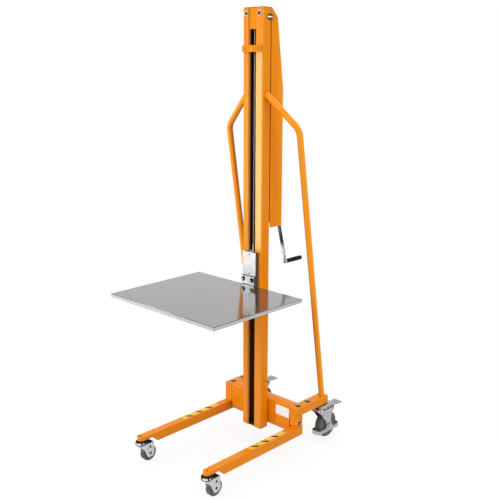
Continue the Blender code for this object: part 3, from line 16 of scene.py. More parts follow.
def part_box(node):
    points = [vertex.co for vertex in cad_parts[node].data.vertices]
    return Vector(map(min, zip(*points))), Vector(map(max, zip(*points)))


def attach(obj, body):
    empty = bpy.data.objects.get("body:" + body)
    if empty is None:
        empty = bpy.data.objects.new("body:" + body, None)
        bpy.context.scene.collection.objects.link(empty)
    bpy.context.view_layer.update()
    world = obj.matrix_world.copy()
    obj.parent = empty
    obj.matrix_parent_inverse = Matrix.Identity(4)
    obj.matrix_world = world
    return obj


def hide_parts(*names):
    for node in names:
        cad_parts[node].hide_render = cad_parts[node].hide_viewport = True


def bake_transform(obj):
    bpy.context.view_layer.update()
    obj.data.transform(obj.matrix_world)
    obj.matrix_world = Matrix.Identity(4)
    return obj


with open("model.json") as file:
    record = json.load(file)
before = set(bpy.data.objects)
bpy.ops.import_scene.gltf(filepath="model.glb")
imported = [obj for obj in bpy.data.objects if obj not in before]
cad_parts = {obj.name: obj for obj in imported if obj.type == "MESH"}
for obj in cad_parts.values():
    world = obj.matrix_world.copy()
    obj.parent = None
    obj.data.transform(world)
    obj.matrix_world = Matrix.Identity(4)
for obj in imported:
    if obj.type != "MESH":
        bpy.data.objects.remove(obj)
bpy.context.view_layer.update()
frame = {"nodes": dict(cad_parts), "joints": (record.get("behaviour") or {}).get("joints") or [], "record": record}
NODES = frame["nodes"]
RECORD = frame["record"]
BODY_OF = {node: body for body, nodes in RECORD["behaviour"]["bodies"].items() for node in nodes}
SLOT_OF = {part["node"]: part["material_slot"] for part in RECORD["subparts"]}
JOINT_AT = {joint["name"]: Vector(joint["pos_m"]) for joint in frame["joints"] if "pos_m" in joint}
SIDES = ((-1, "left"), (1, "right"))

# Camera, fitted to the object's corners in the photograph
CAMERA_PLACE = (2.3482, -2.3867, 1.7503)
CAMERA_YAW = math.radians(43.8)
CAMERA_PITCH = math.radians(13.3)
CAMERA_ROLL = math.radians(0.2)
CAMERA_SENSOR = 36.0
CAMERA_LENS = 55.52

# Light levels
WORLD_LIGHT = 0.90
FLOOR_GLOW = 0.80
FLOOR_FADE_START = 1.0
FLOOR_FADE_END = 2.2

# The floor's colour to the lamps, its colour under the shadow that shows, and how far it lies below zero
FLOOR_LIT = (0.45, 0.45, 0.45, 1.0)
FLOOR_SHOWN = (0.21, 0.21, 0.21, 1.0)
FLOOR_DROP = 0.0005

# Soft boxes: name, place, aim, width, height, radiance
BOX_AIM = (0.0, 0.1, 1.0)
SOFT_BOXES = (
    ("key_box", (0.2, -4.2, 2.8), BOX_AIM, 2.6, 2.4, 2.6),
    ("fill_box", (4.0, 0.2, 2.0), BOX_AIM, 1.8, 2.2, 2.2),
    ("rear_box", (-2.0, 3.6, 4.4), BOX_AIM, 2.2, 2.2, 1.5),
    ("strip_box", (-2.193, -2.382, 1.05), (0.04, 0.08, 1.05), 0.20, 1.72, 25.0),
)

# The mast's front face and half of its slot's width
MAST_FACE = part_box("mast")[0].y
SLOT_HALF = 0.018

# The level direction along which the rings' painted reflections and the handles' painted light and shade lie
PAINTED_LIGHT_SIDE = (0.722, 0.692, 0.0)

# Castor places that the frame's boxes don't give
RING_HEIGHT = 0.0172
FRONT_CHEEK_OUT = 0.005
REAR_CHEEK_OUT = 0.0055

# Powder coat: its two oranges, its gloss, and on the mast's front the heights of the stretch made yellower as
# painted light and how far the painted shadow band beside the slot reaches out of the slot's edge and into the
# slot
ORANGE = ((0.860, 0.248, 0.002), (0.890, 0.270, 0.003))
COAT_SHINE = 0.13
PAINTED_LIGHT_FROM = 0.93
PAINTED_LIGHT_TO = 1.66
SLOT_SHADOW_OUT = 0.0095
SLOT_SHADOW_IN = 0.0020

# Geometry steps
WELD = 0.000005
FLAT_ANGLE = math.radians(0.4)
SMOOTH_ANGLE = math.radians(38)
SCREW_STEPS = 36

AXIS_TURN = {
    "X": Matrix.Rotation(math.pi / 2, 4, "Y"),
    "Y": Matrix.Rotation(-math.pi / 2, 4, "X"),
    "Z": Matrix.Identity(4),
}


def add_node(tree, kind, inputs, output, operation=None, data_type=None):
    """One shader node; each input is a value or another node's output. Returns one of its outputs."""
    node = tree.nodes.new("ShaderNode" + kind)
    if operation:
        node.operation = operation
    if data_type:
        node.data_type = data_type
    for socket, value in inputs.items():
        if isinstance(value, bpy.types.NodeSocket):
            tree.links.new(value, node.inputs[socket])
        else:
            node.inputs[socket].default_value = value
    return node.outputs[output]


class Finish:
    """A Principled material, with short calls that add the nodes it is made from."""

    def __init__(self, name, colour, roughness, metallic=0.0):
        self.material = bpy.data.materials.new(name)
        self.material.use_nodes = True
        self.tree = self.material.node_tree
        self.shader = self.tree.nodes["Principled BSDF"]
        self.set("Base Color", (*colour, 1.0))
        self.set("Roughness", roughness)
        self.set("Metallic", metallic)
        self.place = self.node("TexCoord", {}, "Object")
        self.normal = None

    def node(self, kind, inputs, output, operation=None):
        return add_node(self.tree, kind, inputs, output, operation)

    def set(self, socket, value):
        self.shader.inputs[socket].default_value = value

    def wire(self, output, socket):
        self.tree.links.new(output, self.shader.inputs[socket])

    def noise(self, scale, detail=2.0, stretch=None):
        place = self.place
        if stretch is not None:
            place = self.node("Mapping", {"Vector": place, "Scale": stretch}, "Vector")
        return self.node("TexNoise", {"Vector": place, "Scale": scale, "Detail": detail}, "Fac")

    def cells(self, scale):
        return self.node("TexVoronoi", {"Vector": self.place, "Scale": scale}, "Color")

    def along(self, axis):
        return self.node("SeparateXYZ", {"Vector": self.place}, axis)

    def across(self, centre, direction):
        """Distance from a centre along a level direction."""
        shift = self.node("VectorMath", {0: self.place, 1: centre}, "Vector", "SUBTRACT")
        return self.node("VectorMath", {0: shift, 1: direction}, "Value", "DOT_PRODUCT")

    def facing(self, direction):
        """How far a surface faces a direction, from -1 to 1."""
        normal = self.place.node.outputs["Normal"]
        return self.node("VectorMath", {0: normal, 1: direction}, "Value", "DOT_PRODUCT")

    def spread(self, value, start, end, low, high):
        """Maps a value from one range to another."""
        ranges = {"Value": value, "From Min": start, "From Max": end, "To Min": low, "To Max": high}
        return self.node("MapRange", ranges, "Result")

    def patches(self, scale, detail, start, end, low, high):
        return self.spread(self.noise(scale, detail), start, end, low, high)

    def band(self, value, low, high, soft):
        """1 between two values, fading to 0 outside them."""
        rising = self.spread(value, low - soft, low + soft, 0.0, 1.0)
        falling = self.spread(value, high - soft, high + soft, 1.0, 0.0)
        return self.times(rising, falling)

    def times(self, first, second):
        return self.node("Math", {0: first, 1: second}, "Value", "MULTIPLY")

    def mix(self, factor, first, second):
        """Mixes two colours; each is a colour or another node's output."""
        pair = [(*value, 1.0) if isinstance(value, tuple) else value for value in (first, second)]
        return add_node(self.tree, "Mix", {"Factor": factor, 6: pair[0], 7: pair[1]}, 2, None, "RGBA")

    def mottle(self, scale, detail, start, end, first, second):
        """Two colours in patches."""
        return self.mix(self.patches(scale, detail, start, end, 0.0, 1.0), first, second)

    def bump(self, height, distance, strength=1.0):
        inputs = {"Distance": distance, "Strength": strength, "Height": height}
        if self.normal is not None:
            inputs["Normal"] = self.normal
        self.normal = self.node("Bump", inputs, "Normal")
        self.wire(self.normal, "Normal")


def start_coat(name, dark, light):
    """Powder coat: orange-peel bump, slight mottle, a little dust near the floor."""
    paint = Finish(name, light, 0.36)
    colour = paint.mottle(5.0, 3.0, 0.35, 0.65, dark, light)
    low = paint.spread(paint.along("Z"), 0.06, 0.30, 0.22, 0.0)
    speckle = paint.patches(55.0, 4.0, 0.50, 0.68, 0.0, 1.0)
    colour = paint.mix(paint.times(low, speckle), colour, (0.55, 0.26, 0.09))
    paint.wire(paint.patches(18.0, 3.0, 0.35, 0.65, 0.07, 0.10), "Roughness")
    paint.set("Specular IOR Level", COAT_SHINE)
    paint.set("Specular Tint", (1.0, 0.84, 0.46, 1.0))
    paint.bump(paint.noise(520.0, 2.0), 0.000012, 0.5)
    return paint, colour


def make_orange_paint(name, dark, light):
    paint, colour = start_coat(name, dark, light)
    paint.wire(colour, "Base Color")
    return paint.material


def make_mast_coat(name, low, high, slot_top):
    """The mast's coat with painted light and shade: yellower at mid height on its front, a dark painted shadow
    beside the slot, paler towards its front corners as a painted highlight.
    """
    paint, colour = start_coat(name, *ORANGE)
    across = paint.along("X")
    depth = paint.along("Y")
    front = paint.spread(depth, low.y + 0.0002, low.y + 0.0006, 1.0, 0.0)
    height = paint.along("Z")
    # painted light: the front is yellower between these heights
    middle = paint.band(height, PAINTED_LIGHT_FROM, PAINTED_LIGHT_TO, 0.17)
    colour = paint.mix(paint.times(front, middle), colour, (0.80, 0.370, 0.008))
    # painted shadow: a dark band on the front along the slot's left edge and just into the slot, below the head
    # insert
    wear_and_painted_shade = paint.times(
        paint.band(across, -SLOT_HALF - SLOT_SHADOW_OUT, -SLOT_HALF + SLOT_SHADOW_IN, 0.0003),
        paint.spread(height, slot_top - 0.0005, slot_top, 1.0, 0.0),
    )
    colour = paint.mix(paint.times(front, wear_and_painted_shade), colour, (0.05, 0.022, 0.006))
    # painted highlight: paler on the front and on the first millimetres of the sides behind the front corners
    corner = paint.spread(depth, low.y + 0.002, low.y + 0.009, 0.45, 0.0)
    colour = paint.mix(corner, colour, (0.88, 0.32, 0.055))
    paint.wire(colour, "Base Color")
    rim = paint.spread(across, high.x - 0.0085, high.x - 0.0060, 0.0, 1.0)
    dull = paint.spread(paint.times(front, rim), 0.0, 1.0, 1.0, 0.25)
    shine = paint.spread(across, -0.015, 0.015, 0.25 * COAT_SHINE, COAT_SHINE)
    lit = paint.spread(front, 0.0, 1.0, COAT_SHINE, 0.0)
    on_front = paint.times(paint.times(shine, dull), front)
    paint.wire(paint.node("Math", {0: on_front, 1: lit}, "Value", "ADD"), "Specular IOR Level")
    return paint.material


def make_cover_coat(name, low, high):
    """The winch cover's coat, a little lighter towards its rear as painted light."""
    paint, colour = start_coat(name, *ORANGE)
    # painted light: the coat lightens towards the cover's rear
    rear = paint.spread(paint.along("Y"), low.y + 0.030, high.y - 0.006, 0.0, 1.0)
    paint.wire(paint.mix(rear, colour, (0.97, 0.315, 0.004)), "Base Color")
    return paint.material


def make_tube_coat(name, shaded, start):
    """A handle's coat: painted shade browns the flank that faces the mast, painted light lightens the other."""
    paint, colour = start_coat(name, (0.90, 0.285, 0.008), (0.93, 0.310, 0.012))
    turn = paint.facing(shaded)
    # painted light on the flank turned away from the shaded side
    colour = paint.mix(paint.spread(turn, -0.80, 0.0, 0.9, 0.0), colour, (1.0, 0.40, 0.050))
    # painted shade on the flank turned towards the shaded side
    colour = paint.mix(paint.spread(turn, start, 1.0, 0.0, 1.0), colour, (0.20, 0.060, 0.014))
    paint.wire(colour, "Base Color")
    return paint.material


def make_inside_shade():
    """Painted shade for the insides of the mast and cover: near black steel with wiped lanes where the rollers
    run, lighter and browner towards the foot.
    """
    steel = Finish("mast_inside", (0.020, 0.011, 0.006), 0.55)
    lanes = steel.noise(30.0, 3.0, (1.0, 1.0, 0.05))
    colour = steel.mix(
        steel.spread(lanes, 0.4, 0.7, 0.0, 1.0), (0.012, 0.007, 0.004), (0.055, 0.028, 0.010)
    )
    # the painted shade is lighter and browner towards the foot
    foot = steel.spread(steel.along("Z"), 0.55, 0.90, 1.0, 0.0)
    steel.wire(steel.mix(foot, colour, (0.130, 0.050, 0.008)), "Base Color")
    steel.wire(steel.spread(lanes, 0.35, 0.65, 0.42, 0.70), "Roughness")
    return steel.material


def make_bright_sheet(name, dark, light, streak):
    """Cold-rolled stainless sheet: fine grain along X, faint wipe marks and soft waviness."""
    sheet = Finish(name, light, 0.12, 0.90)
    grain = sheet.noise(1.0, 3.0, (14.0, 1400.0, 1400.0))
    cloud = sheet.noise(3.0, 2.0)
    wipes = sheet.noise(9.0, 4.0, (1.0, 0.35, 1.0))
    colour = sheet.mix(sheet.spread(cloud, 0.35, 0.65, 0.0, 1.0), dark, light)
    colour = sheet.mix(sheet.spread(grain, 0.3, 0.7, 0.0, 0.25), colour, streak)
    sheet.wire(colour, "Base Color")
    sheet.wire(sheet.spread(wipes, 0.35, 0.70, 0.08, 0.15), "Roughness")
    sheet.set("Anisotropic", 0.35)
    sheet.bump(grain, 0.000004, 0.6)
    sheet.bump(cloud, 0.0006, 0.25)
    return sheet.material


def make_sheet_lip(name, top, band):
    """The folded lip: brushed, lighter than the sheet as a painted reflection, with a painted shade line along its
    top.
    """
    lip = Finish(name, (0.60, 0.585, 0.58), 0.30, 0.20)
    lip.set("Specular IOR Level", 0.15)
    grain = lip.noise(1.0, 3.0, (14.0, 14.0, 1400.0))
    # painted shade: a dark line along the top of the lip
    bend = lip.spread(lip.along("Z"), top - band, top - 0.6 * band, 0.0, 1.0)
    colour = lip.mix(lip.spread(grain, 0.3, 0.7, 0.0, 1.0), (0.48, 0.465, 0.46), (0.60, 0.585, 0.58))
    lip.wire(lip.mix(bend, colour, (0.19, 0.18, 0.18)), "Base Color")
    lip.wire(lip.spread(grain, 0.35, 0.65, 0.24, 0.34), "Roughness")
    lip.bump(grain, 0.000004, 0.6)
    return lip.material


def make_milled(name, dark, light, roughness, shadow_line=None):
    """Milled aluminium with shallow cutter lines; the shadow line argument gives the heights where a painted
    shadow line fades out.
    """
    metal = Finish(name, light, roughness, 1.0)
    lines = metal.noise(1.0, 2.0, (900.0, 900.0, 60.0))
    colour = metal.mottle(40.0, 2.0, 0.3, 0.7, dark, light)
    if shadow_line:
        # painted shadow line below the given heights
        line = metal.spread(metal.along("Z"), *shadow_line, 1.0, 0.0)
        colour = metal.mix(line, colour, (0.020, 0.018, 0.016))
    metal.wire(colour, "Base Color")
    metal.wire(metal.spread(lines, 0.35, 0.65, roughness, roughness + 0.14), "Roughness")
    metal.bump(lines, 0.00002, 0.5)
    return metal.material


def make_zinc(name, light, dark, roughness):
    """Zinc-plated steel: fine crystals and soft cloudiness."""
    zinc = Finish(name, light, roughness, 1.0)
    zinc.wire(zinc.mottle(60.0, 4.0, 0.3, 0.7, dark, light), "Base Color")
    zinc.wire(
        zinc.patches(220.0, 2.0, 0.3, 0.7, roughness - 0.06, roughness + 0.08), "Roughness"
    )
    zinc.bump(zinc.cells(700.0), 0.000015, 0.35)
    return zinc.material


def make_chrome(name, colour, roughness):
    chrome = Finish(name, colour, roughness, 1.0)
    chrome.wire(chrome.patches(45.0, 3.0, 0.4, 0.7, roughness, roughness + 0.10), "Roughness")
    chrome.bump(chrome.noise(300.0, 2.0), 0.00001, 0.4)
    return chrome.material


def make_crank_steel():
    """Chromed bar with painted reflections: dark towards its hub and light next to the grip."""
    steel = Finish("crank_painted_reflection", (0.10, 0.10, 0.11), 0.16, 0.25)
    steel.set("Specular IOR Level", 0.1)
    height = steel.along("Z")
    # painted reflection: near black towards the hub
    dark_reflection = steel.mix(
        steel.spread(height, 0.985, 1.075, 0.0, 1.0), (0.006, 0.006, 0.008), (0.045, 0.045, 0.055)
    )
    # painted reflection: light next to the grip
    light_reflection_mask = steel.spread(height, 0.925, 0.960, 1.0, 0.0)
    bright = steel.mottle(90.0, 3.0, 0.35, 0.65, (0.30, 0.34, 0.39), (0.60, 0.65, 0.72))
    steel.wire(steel.mix(light_reflection_mask, dark_reflection, bright), "Base Color")
    steel.wire(steel.patches(60.0, 3.0, 0.35, 0.7, 0.10, 0.28), "Roughness")
    return steel.material


def make_painted_reflection_chrome(name, centre, low, high):
    """Domed chrome ring with painted reflections: two bright windows on a dark ground, dark towards both rims."""
    span = high - low
    chrome = Finish(name, (0.5, 0.5, 0.5), 0.09, 1.0)
    # painted reflections: two light windows across the ring on a dark painted ground
    level = chrome.band(chrome.along("Z"), low + 0.36 * span, high - 0.12 * span, 0.05 * span)
    across = chrome.across(centre, PAINTED_LIGHT_SIDE)
    wide = chrome.times(chrome.band(across, -0.0175, 0.0035, 0.0015), level)
    narrow = chrome.times(chrome.band(across, 0.0105, 0.0175, 0.0010), level)
    smear = chrome.patches(140.0, 2.0, 0.35, 0.65, 0.70, 1.0)
    dark = (0.040, 0.034, 0.048)
    colour = chrome.mix(chrome.times(wide, smear), dark, (0.92, 0.92, 0.95))
    colour = chrome.mix(narrow, colour, (0.42, 0.46, 0.48))
    chrome.wire(colour, "Base Color")
    chrome.bump(chrome.noise(300.0, 2.0), 0.00001, 0.4)
    return chrome.material


def make_banded_chrome(name, level, half):
    """Polished dome with painted reflections: dark, with one bright band across it at a height as a painted
    highlight.
    """
    chrome = Finish(name, (0.3, 0.3, 0.3), 0.10, 1.0)
    # painted highlight: one light band at a height on a dark painted reflection
    band = chrome.band(chrome.along("Z"), level - half, level + half, 0.001)
    speck = chrome.patches(250.0, 2.0, 0.4, 0.6, 0.75, 0.95)
    bright = chrome.times(band, speck)
    chrome.wire(chrome.mix(bright, (0.06, 0.045, 0.04), (0.95, 0.95, 0.95)), "Base Color")
    chrome.bump(chrome.noise(300.0, 2.0), 0.00001, 0.4)
    return chrome.material


def make_steel():
    """Turned and ground steel with a thin film of oil."""
    steel = Finish("ground_steel", (0.40, 0.40, 0.41), 0.30, 1.0)
    film = steel.noise(35.0, 4.0)
    colour = steel.mix(
        steel.spread(film, 0.35, 0.68, 0.0, 1.0), (0.30, 0.30, 0.31), (0.46, 0.46, 0.46)
    )
    steel.wire(colour, "Base Color")
    steel.wire(steel.spread(film, 0.35, 0.65, 0.24, 0.40), "Roughness")
    steel.bump(steel.noise(1.0, 2.0, (500.0, 500.0, 60.0)), 0.00001, 0.5)
    return steel.material


def make_wire():
    wire = Finish("galvanised_wire", (0.46, 0.44, 0.41), 0.42, 1.0)
    grime = wire.noise(160.0, 3.0)
    colour = wire.mix(wire.spread(grime, 0.4, 0.7, 0.0, 0.7), (0.50, 0.48, 0.45), (0.22, 0.20, 0.17))
    wire.wire(colour, "Base Color")
    return wire.material


def make_rubber(name, colour, dusty, scale):
    """Moulded rubber: fine grain and a dusting that lightens it in patches."""
    rubber = Finish(name, colour, 0.62)
    dust = rubber.patches(scale, 5.0, 0.42, 0.72, 0.0, 0.8)
    rubber.wire(rubber.mix(dust, colour, dusty), "Base Color")
    rubber.wire(rubber.patches(90.0, 2.0, 0.3, 0.7, 0.52, 0.72), "Roughness")
    rubber.bump(rubber.noise(1400.0, 2.0), 0.00006, 0.5)
    return rubber.material


def make_plastic(name, colour, roughness, grain, shine=0.5):
    plastic = Finish(name, colour, roughness)
    plastic.set("Specular IOR Level", shine)
    wear = plastic.patches(70.0, 4.0, 0.45, 0.75, 0.0, 0.25)
    plastic.wire(plastic.mix(wear, colour, tuple(0.6 * c + 0.03 for c in colour)), "Base Color")
    plastic.wire(
        plastic.patches(40.0, 2.0, 0.3, 0.7, roughness - 0.04, roughness + 0.06),
        "Roughness",
    )
    plastic.bump(plastic.noise(grain, 2.0), 0.00004, 0.35)
    return plastic.material


def make_film(name, colour, roughness, shine=0.35):
    """Self-adhesive film or a bare plate: near flat, with a faint ripple."""
    film = Finish(name, colour, roughness)
    film.set("Specular IOR Level", shine)
    wear_and_painted_shade = film.patches(120.0, 4.0, 0.55, 0.75, 0.0, 0.35)
    film.wire(film.mix(wear_and_painted_shade, colour, tuple(0.75 * part for part in colour)), "Base Color")
    film.wire(film.patches(25.0, 2.0, 0.3, 0.7, roughness - 0.05, roughness + 0.05), "Roughness")
    film.bump(film.noise(60.0, 2.0), 0.00006, 0.3)
    return film.material


PAINT = make_orange_paint("orange_powder_coat", *ORANGE)
MAST_COAT = make_mast_coat("orange_mast_coat", *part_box("mast"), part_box("head_insert")[0].z)
COVER_COAT = make_cover_coat("orange_cover_coat", *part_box("winch_cover"))
HANDLE_COAT = {
    "left": make_tube_coat("orange_tube_coat_left", PAINTED_LIGHT_SIDE, 0.15),
    "right": make_tube_coat("orange_tube_coat_right", [-part for part in PAINTED_LIGHT_SIDE], 0.70),
}
PAINT_EDGE_HIGHLIGHT = make_orange_paint("orange_coat_edge_highlight", (0.93, 0.34, 0.030), (0.95, 0.42, 0.070))
STOP_BAR_SHADE_LEFT = make_orange_paint("orange_bar_end_painted_shade_left", (0.52, 0.27, 0.12), (0.62, 0.34, 0.16))
STOP_BAR_SHADE_RIGHT = make_orange_paint("orange_bar_end_painted_shade_right", (0.60, 0.17, 0.008), (0.68, 0.21, 0.015))
PAINT_SHADE = make_orange_paint("orange_cap_side_painted_shade", (0.24, 0.085, 0.012), (0.32, 0.12, 0.020))
MAST_INSIDE = make_inside_shade()
SHEET = make_bright_sheet(
    "bright_stainless_sheet", (0.290, 0.277, 0.285), (0.318, 0.305, 0.312), (0.355, 0.342, 0.346)
)
SHEET_LIP = make_sheet_lip("folded_sheet_lip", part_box("platform")[1].z, 0.0032)
# painted shade on the sheet's bevelled rims
SHEET_SHADE_RIM = make_bright_sheet(
    "sheet_rim_painted_shade", (0.14, 0.13, 0.13), (0.20, 0.19, 0.19), (0.24, 0.23, 0.22)
)
ALUMINIUM = make_milled("milled_aluminium", (0.42, 0.425, 0.435), (0.48, 0.48, 0.48), 0.34)
FORK_STEEL = make_zinc("pressed_fork_plate", (0.66, 0.65, 0.68), (0.46, 0.45, 0.48), 0.24)
RING_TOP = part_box("front_fork_left")[1].z
RING_CHROME = {
    word: make_painted_reflection_chrome(
        "ring_painted_reflection_" + word, JOINT_AT["front_%s_castor_swivel" % word],
        RING_TOP - RING_HEIGHT, RING_TOP,
    )
    for _, word in SIDES
}
NUT_CHROME = make_banded_chrome("domed_nut_chrome", 1.9595, 0.0028)
# painted shade for aluminium faces turned from the light, and a near black one for shadow lines and screw heads
ALUMINIUM_SHADED = make_zinc("aluminium_painted_shade", (0.16, 0.13, 0.11), (0.10, 0.08, 0.07), 0.45)
DARK_SHADE_METAL = make_zinc("dark_painted_shade_metal", (0.05, 0.045, 0.04), (0.025, 0.022, 0.02), 0.50)
# a painted shadow line along the bracket's foot, where it meets the platform
BRACKET_METAL = make_milled(
    "bracket_aluminium", (0.44, 0.445, 0.455), (0.50, 0.50, 0.50), 0.32, (0.7905, 0.7935)
)
SCREW_METAL = make_zinc("dull_screw_plate", (0.60, 0.57, 0.54), (0.38, 0.35, 0.32), 0.32)
STEM_STEEL = make_zinc("shaded_stem", (0.070, 0.065, 0.070), (0.035, 0.032, 0.034), 0.40)
BOLT_LIT = make_zinc("bolt_painted_lit", (0.62, 0.62, 0.62), (0.42, 0.42, 0.42), 0.34)
BOLT_SHADED = make_zinc("bolt_painted_shade", (0.17, 0.165, 0.17), (0.08, 0.08, 0.085), 0.34)
WASHER_SHADE_STEEL = make_zinc("washer_painted_shade", (0.30, 0.14, 0.06), (0.14, 0.06, 0.03), 0.40)
CROWN_BLACK = make_plastic("crown_black", (0.006, 0.005, 0.005), 0.55, 700.0, 0.04)
REAR_FORK_STEEL = make_zinc("rear_fork_plate", (0.60, 0.58, 0.60), (0.30, 0.28, 0.295), 0.26)
GUARD_STEEL = make_zinc("guard_strip", (0.50, 0.485, 0.49), (0.33, 0.315, 0.32), 0.30)
PEDAL_STEEL = make_zinc("pedal_plate", (0.37, 0.38, 0.42), (0.22, 0.23, 0.26), 0.26)
ZINC = make_zinc("zinc_plate", (0.46, 0.46, 0.47), (0.30, 0.30, 0.31), 0.30)
DARK_ZINC = make_zinc("worn_zinc", (0.26, 0.255, 0.25), (0.13, 0.125, 0.12), 0.34)
DARK_CHROME = make_chrome("dark_chrome", (0.20, 0.19, 0.21), 0.10)
CRANK_STEEL = make_crank_steel()
STEEL = make_steel()
WIRE = make_wire()
TYRE = make_rubber("grey_tyre", (0.075, 0.073, 0.070), (0.16, 0.15, 0.14), 60.0)
GUARD_INSIDE_SHADE = make_rubber("guard_inside_painted_shade", (0.018, 0.020, 0.019), (0.06, 0.06, 0.055), 70.0)
GREY_PLASTIC = make_plastic("grey_wheel_core", (0.23, 0.22, 0.215), 0.42, 900.0)
BLACK_GRIP = make_plastic("black_grip", (0.003, 0.003, 0.0034), 0.28, 700.0, 0.08)
BLACK_NYLON = make_plastic("black_nylon", (0.008, 0.008, 0.009), 0.48, 700.0, 0.2)
PLATE_FILM = make_film("bare_type_plate", (0.95, 0.935, 0.93), 0.35)
YELLOW_FILM = make_film("yellow_film", (0.93, 0.66, 0.035), 0.38)
AMBER_FILM = make_film("amber_film", (0.95, 0.49, 0.06), 0.38)
OLIVE_FILM = make_film("olive_film", (0.14, 0.09, 0.01), 0.45, 0.05)
BLACK_FILM = make_film("black_film", (0.020, 0.008, 0.001), 0.50, 0.02)

SLOT_MATERIAL = {
    "orange_paint": PAINT,
    "bright_sheet": SHEET,
    "cast_aluminium": ALUMINIUM,
    "zinc_steel": ZINC,
    "dark_chrome": DARK_CHROME,
    "steel": STEEL,
    "wire_rope": WIRE,
    "grey_rubber": TYRE,
    "black_grip": BLACK_GRIP,
    "black_nylon": BLACK_NYLON,
}


def link_object(name, data):
    thing = bpy.data.objects.new(name, data)
    bpy.context.scene.collection.objects.link(thing)
    return thing


def add_piece(name, mesh, body, materials):
    piece = link_object(name, mesh)
    for material in materials:
        mesh.materials.append(material)
    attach(piece, body)
    return piece


def smooth(mesh, angle=SMOOTH_ANGLE):
    mesh.shade_smooth()
    mesh.set_sharp_from_angle(angle=angle)


# Bevelled edges: a lighter orange on painted edges as a painted highlight, a dark rim on the sheet as painted
# shade
EDGE_HIGHLIGHT_AND_SHADE = {PAINT: PAINT_EDGE_HIGHLIGHT, SHEET: SHEET_SHADE_RIM}


def round_edges(piece, width, segments=2, angle=math.radians(40)):
    bevel = piece.modifiers.new("edges", "BEVEL")
    materials = piece.data.materials
    if materials[0] in EDGE_HIGHLIGHT_AND_SHADE:
        materials.append(EDGE_HIGHLIGHT_AND_SHADE[materials[0]])
        bevel.material = len(materials) - 1
    bevel.width = width
    bevel.segments = segments
    bevel.limit_method = "ANGLE"
    bevel.angle_limit = angle
    bevel.harden_normals = True
    piece.data.shade_smooth()
    return piece


def refine(node, edge=0.0, segments=2, materials=None, choose=None):
    """Replaces a CAD node by a copy with welded faces, rounded edges and smooth shading."""
    mesh = bpy.data.meshes.new(node + "_finish")
    shape = bmesh.new()
    shape.from_mesh(NODES[node].data)
    bmesh.ops.remove_doubles(shape, verts=shape.verts, dist=WELD)
    for face in shape.faces:
        face.material_index = choose(face.calc_center_median(), face.normal) if choose else 0
    bmesh.ops.dissolve_limit(
        shape, angle_limit=FLAT_ANGLE, verts=shape.verts, edges=shape.edges, delimit={"MATERIAL"}
    )
    shape.to_mesh(mesh)
    shape.free()
    if "custom_normal" in mesh.attributes:
        mesh.attributes.remove(mesh.attributes["custom_normal"])
    chosen = materials or [SLOT_MATERIAL[SLOT_OF[node]]]
    piece = add_piece(node + "_finish", mesh, BODY_OF[node], chosen)
    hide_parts(node)
    if edge > 0:
        round_edges(piece, edge, segments)
    else:
        smooth(mesh)
        flat = piece.modifiers.new("flat_faces", "WEIGHTED_NORMAL")
        flat.keep_sharp = True
        flat.weight = 100
    return piece


def finish_mesh(name, shape, weld=WELD):
    mesh = bpy.data.meshes.new(name)
    bmesh.ops.remove_doubles(shape, verts=shape.verts, dist=weld)
    bmesh.ops.recalc_face_normals(shape, faces=shape.faces)
    shape.to_mesh(mesh)
    shape.free()
    return mesh


def add_shape(name, shape, body, materials, angle=SMOOTH_ANGLE):
    """Finishes a mesh in the making, smooths it and adds it as a piece."""
    mesh = finish_mesh(name, shape)
    smooth(mesh, angle)
    return add_piece(name, mesh, body, materials)


def add_ring_faces(shape, rings, around, closed):
    """Joins rings of vertices by quads; around says whether each ring closes on itself."""
    pairs = list(zip(rings, rings[1:]))
    if closed:
        pairs.append((rings[-1], rings[0]))
    for here, after in pairs:
        count = len(here)
        for i in range(count if around else count - 1):
            j = (i + 1) % count
            shape.faces.new((here[i], here[j], after[j], after[i]))


def add_turned(shape, levels, place, steps, phase=0.0, closed=False):
    """Joined rings round place's Z; a level is a height after a radius or a function of the angle."""
    rings = []
    for size, height in levels:
        ring = []
        for i in range(steps):
            angle = 2 * math.pi * (i + phase) / steps
            radius = size(angle) if callable(size) else size
            spot = Vector((radius * math.cos(angle), radius * math.sin(angle), height))
            ring.append(shape.verts.new(place @ spot))
        rings.append(ring)
    add_ring_faces(shape, rings, True, closed)


def add_lathe(shape, profile, axis, centre, steps, closed=False):
    """Turns (radius, distance along the axis) points round the axis."""
    add_turned(shape, profile, Matrix.Translation(centre) @ AXIS_TURN[axis], steps, 0.0, closed)


def lathe(name, profile, axis, centre, body, material, steps=64, closed=False):
    shape = bmesh.new()
    add_lathe(shape, profile, axis, centre, steps, closed)
    return add_shape(name, shape, body, [material])


def path_frames(points, closed):
    """A tangent and two cross directions at each point, carried along without twist."""
    count = len(points)
    tangents = []
    for i in range(count):
        before = points[(i - 1) % count] if closed or i > 0 else points[i]
        after = points[(i + 1) % count] if closed or i < count - 1 else points[i]
        tangents.append((after - before).normalized())
    side = tangents[0].orthogonal().normalized()
    frames = []
    for tangent in tangents:
        side = (side - tangent * side.dot(tangent)).normalized()
        frames.append((tangent, side, tangent.cross(side)))
    return frames


def add_tube(shape, points, radius, sides, closed=False):
    """A round tube along points; the radius is a number or one value for each point."""
    points = [Vector(point) for point in points]
    radii = radius if isinstance(radius, list) else [radius] * len(points)
    rings = []
    for point, size, (_, side, up) in zip(points, radii, path_frames(points, closed)):
        ring = []
        for i in range(sides):
            angle = 2 * math.pi * i / sides
            ring.append(shape.verts.new(point + (side * math.cos(angle) + up * math.sin(angle)) * size))
        rings.append(ring)
    add_ring_faces(shape, rings, True, closed)
    if not closed:
        shape.faces.new(rings[0])
        shape.faces.new(list(reversed(rings[-1])))


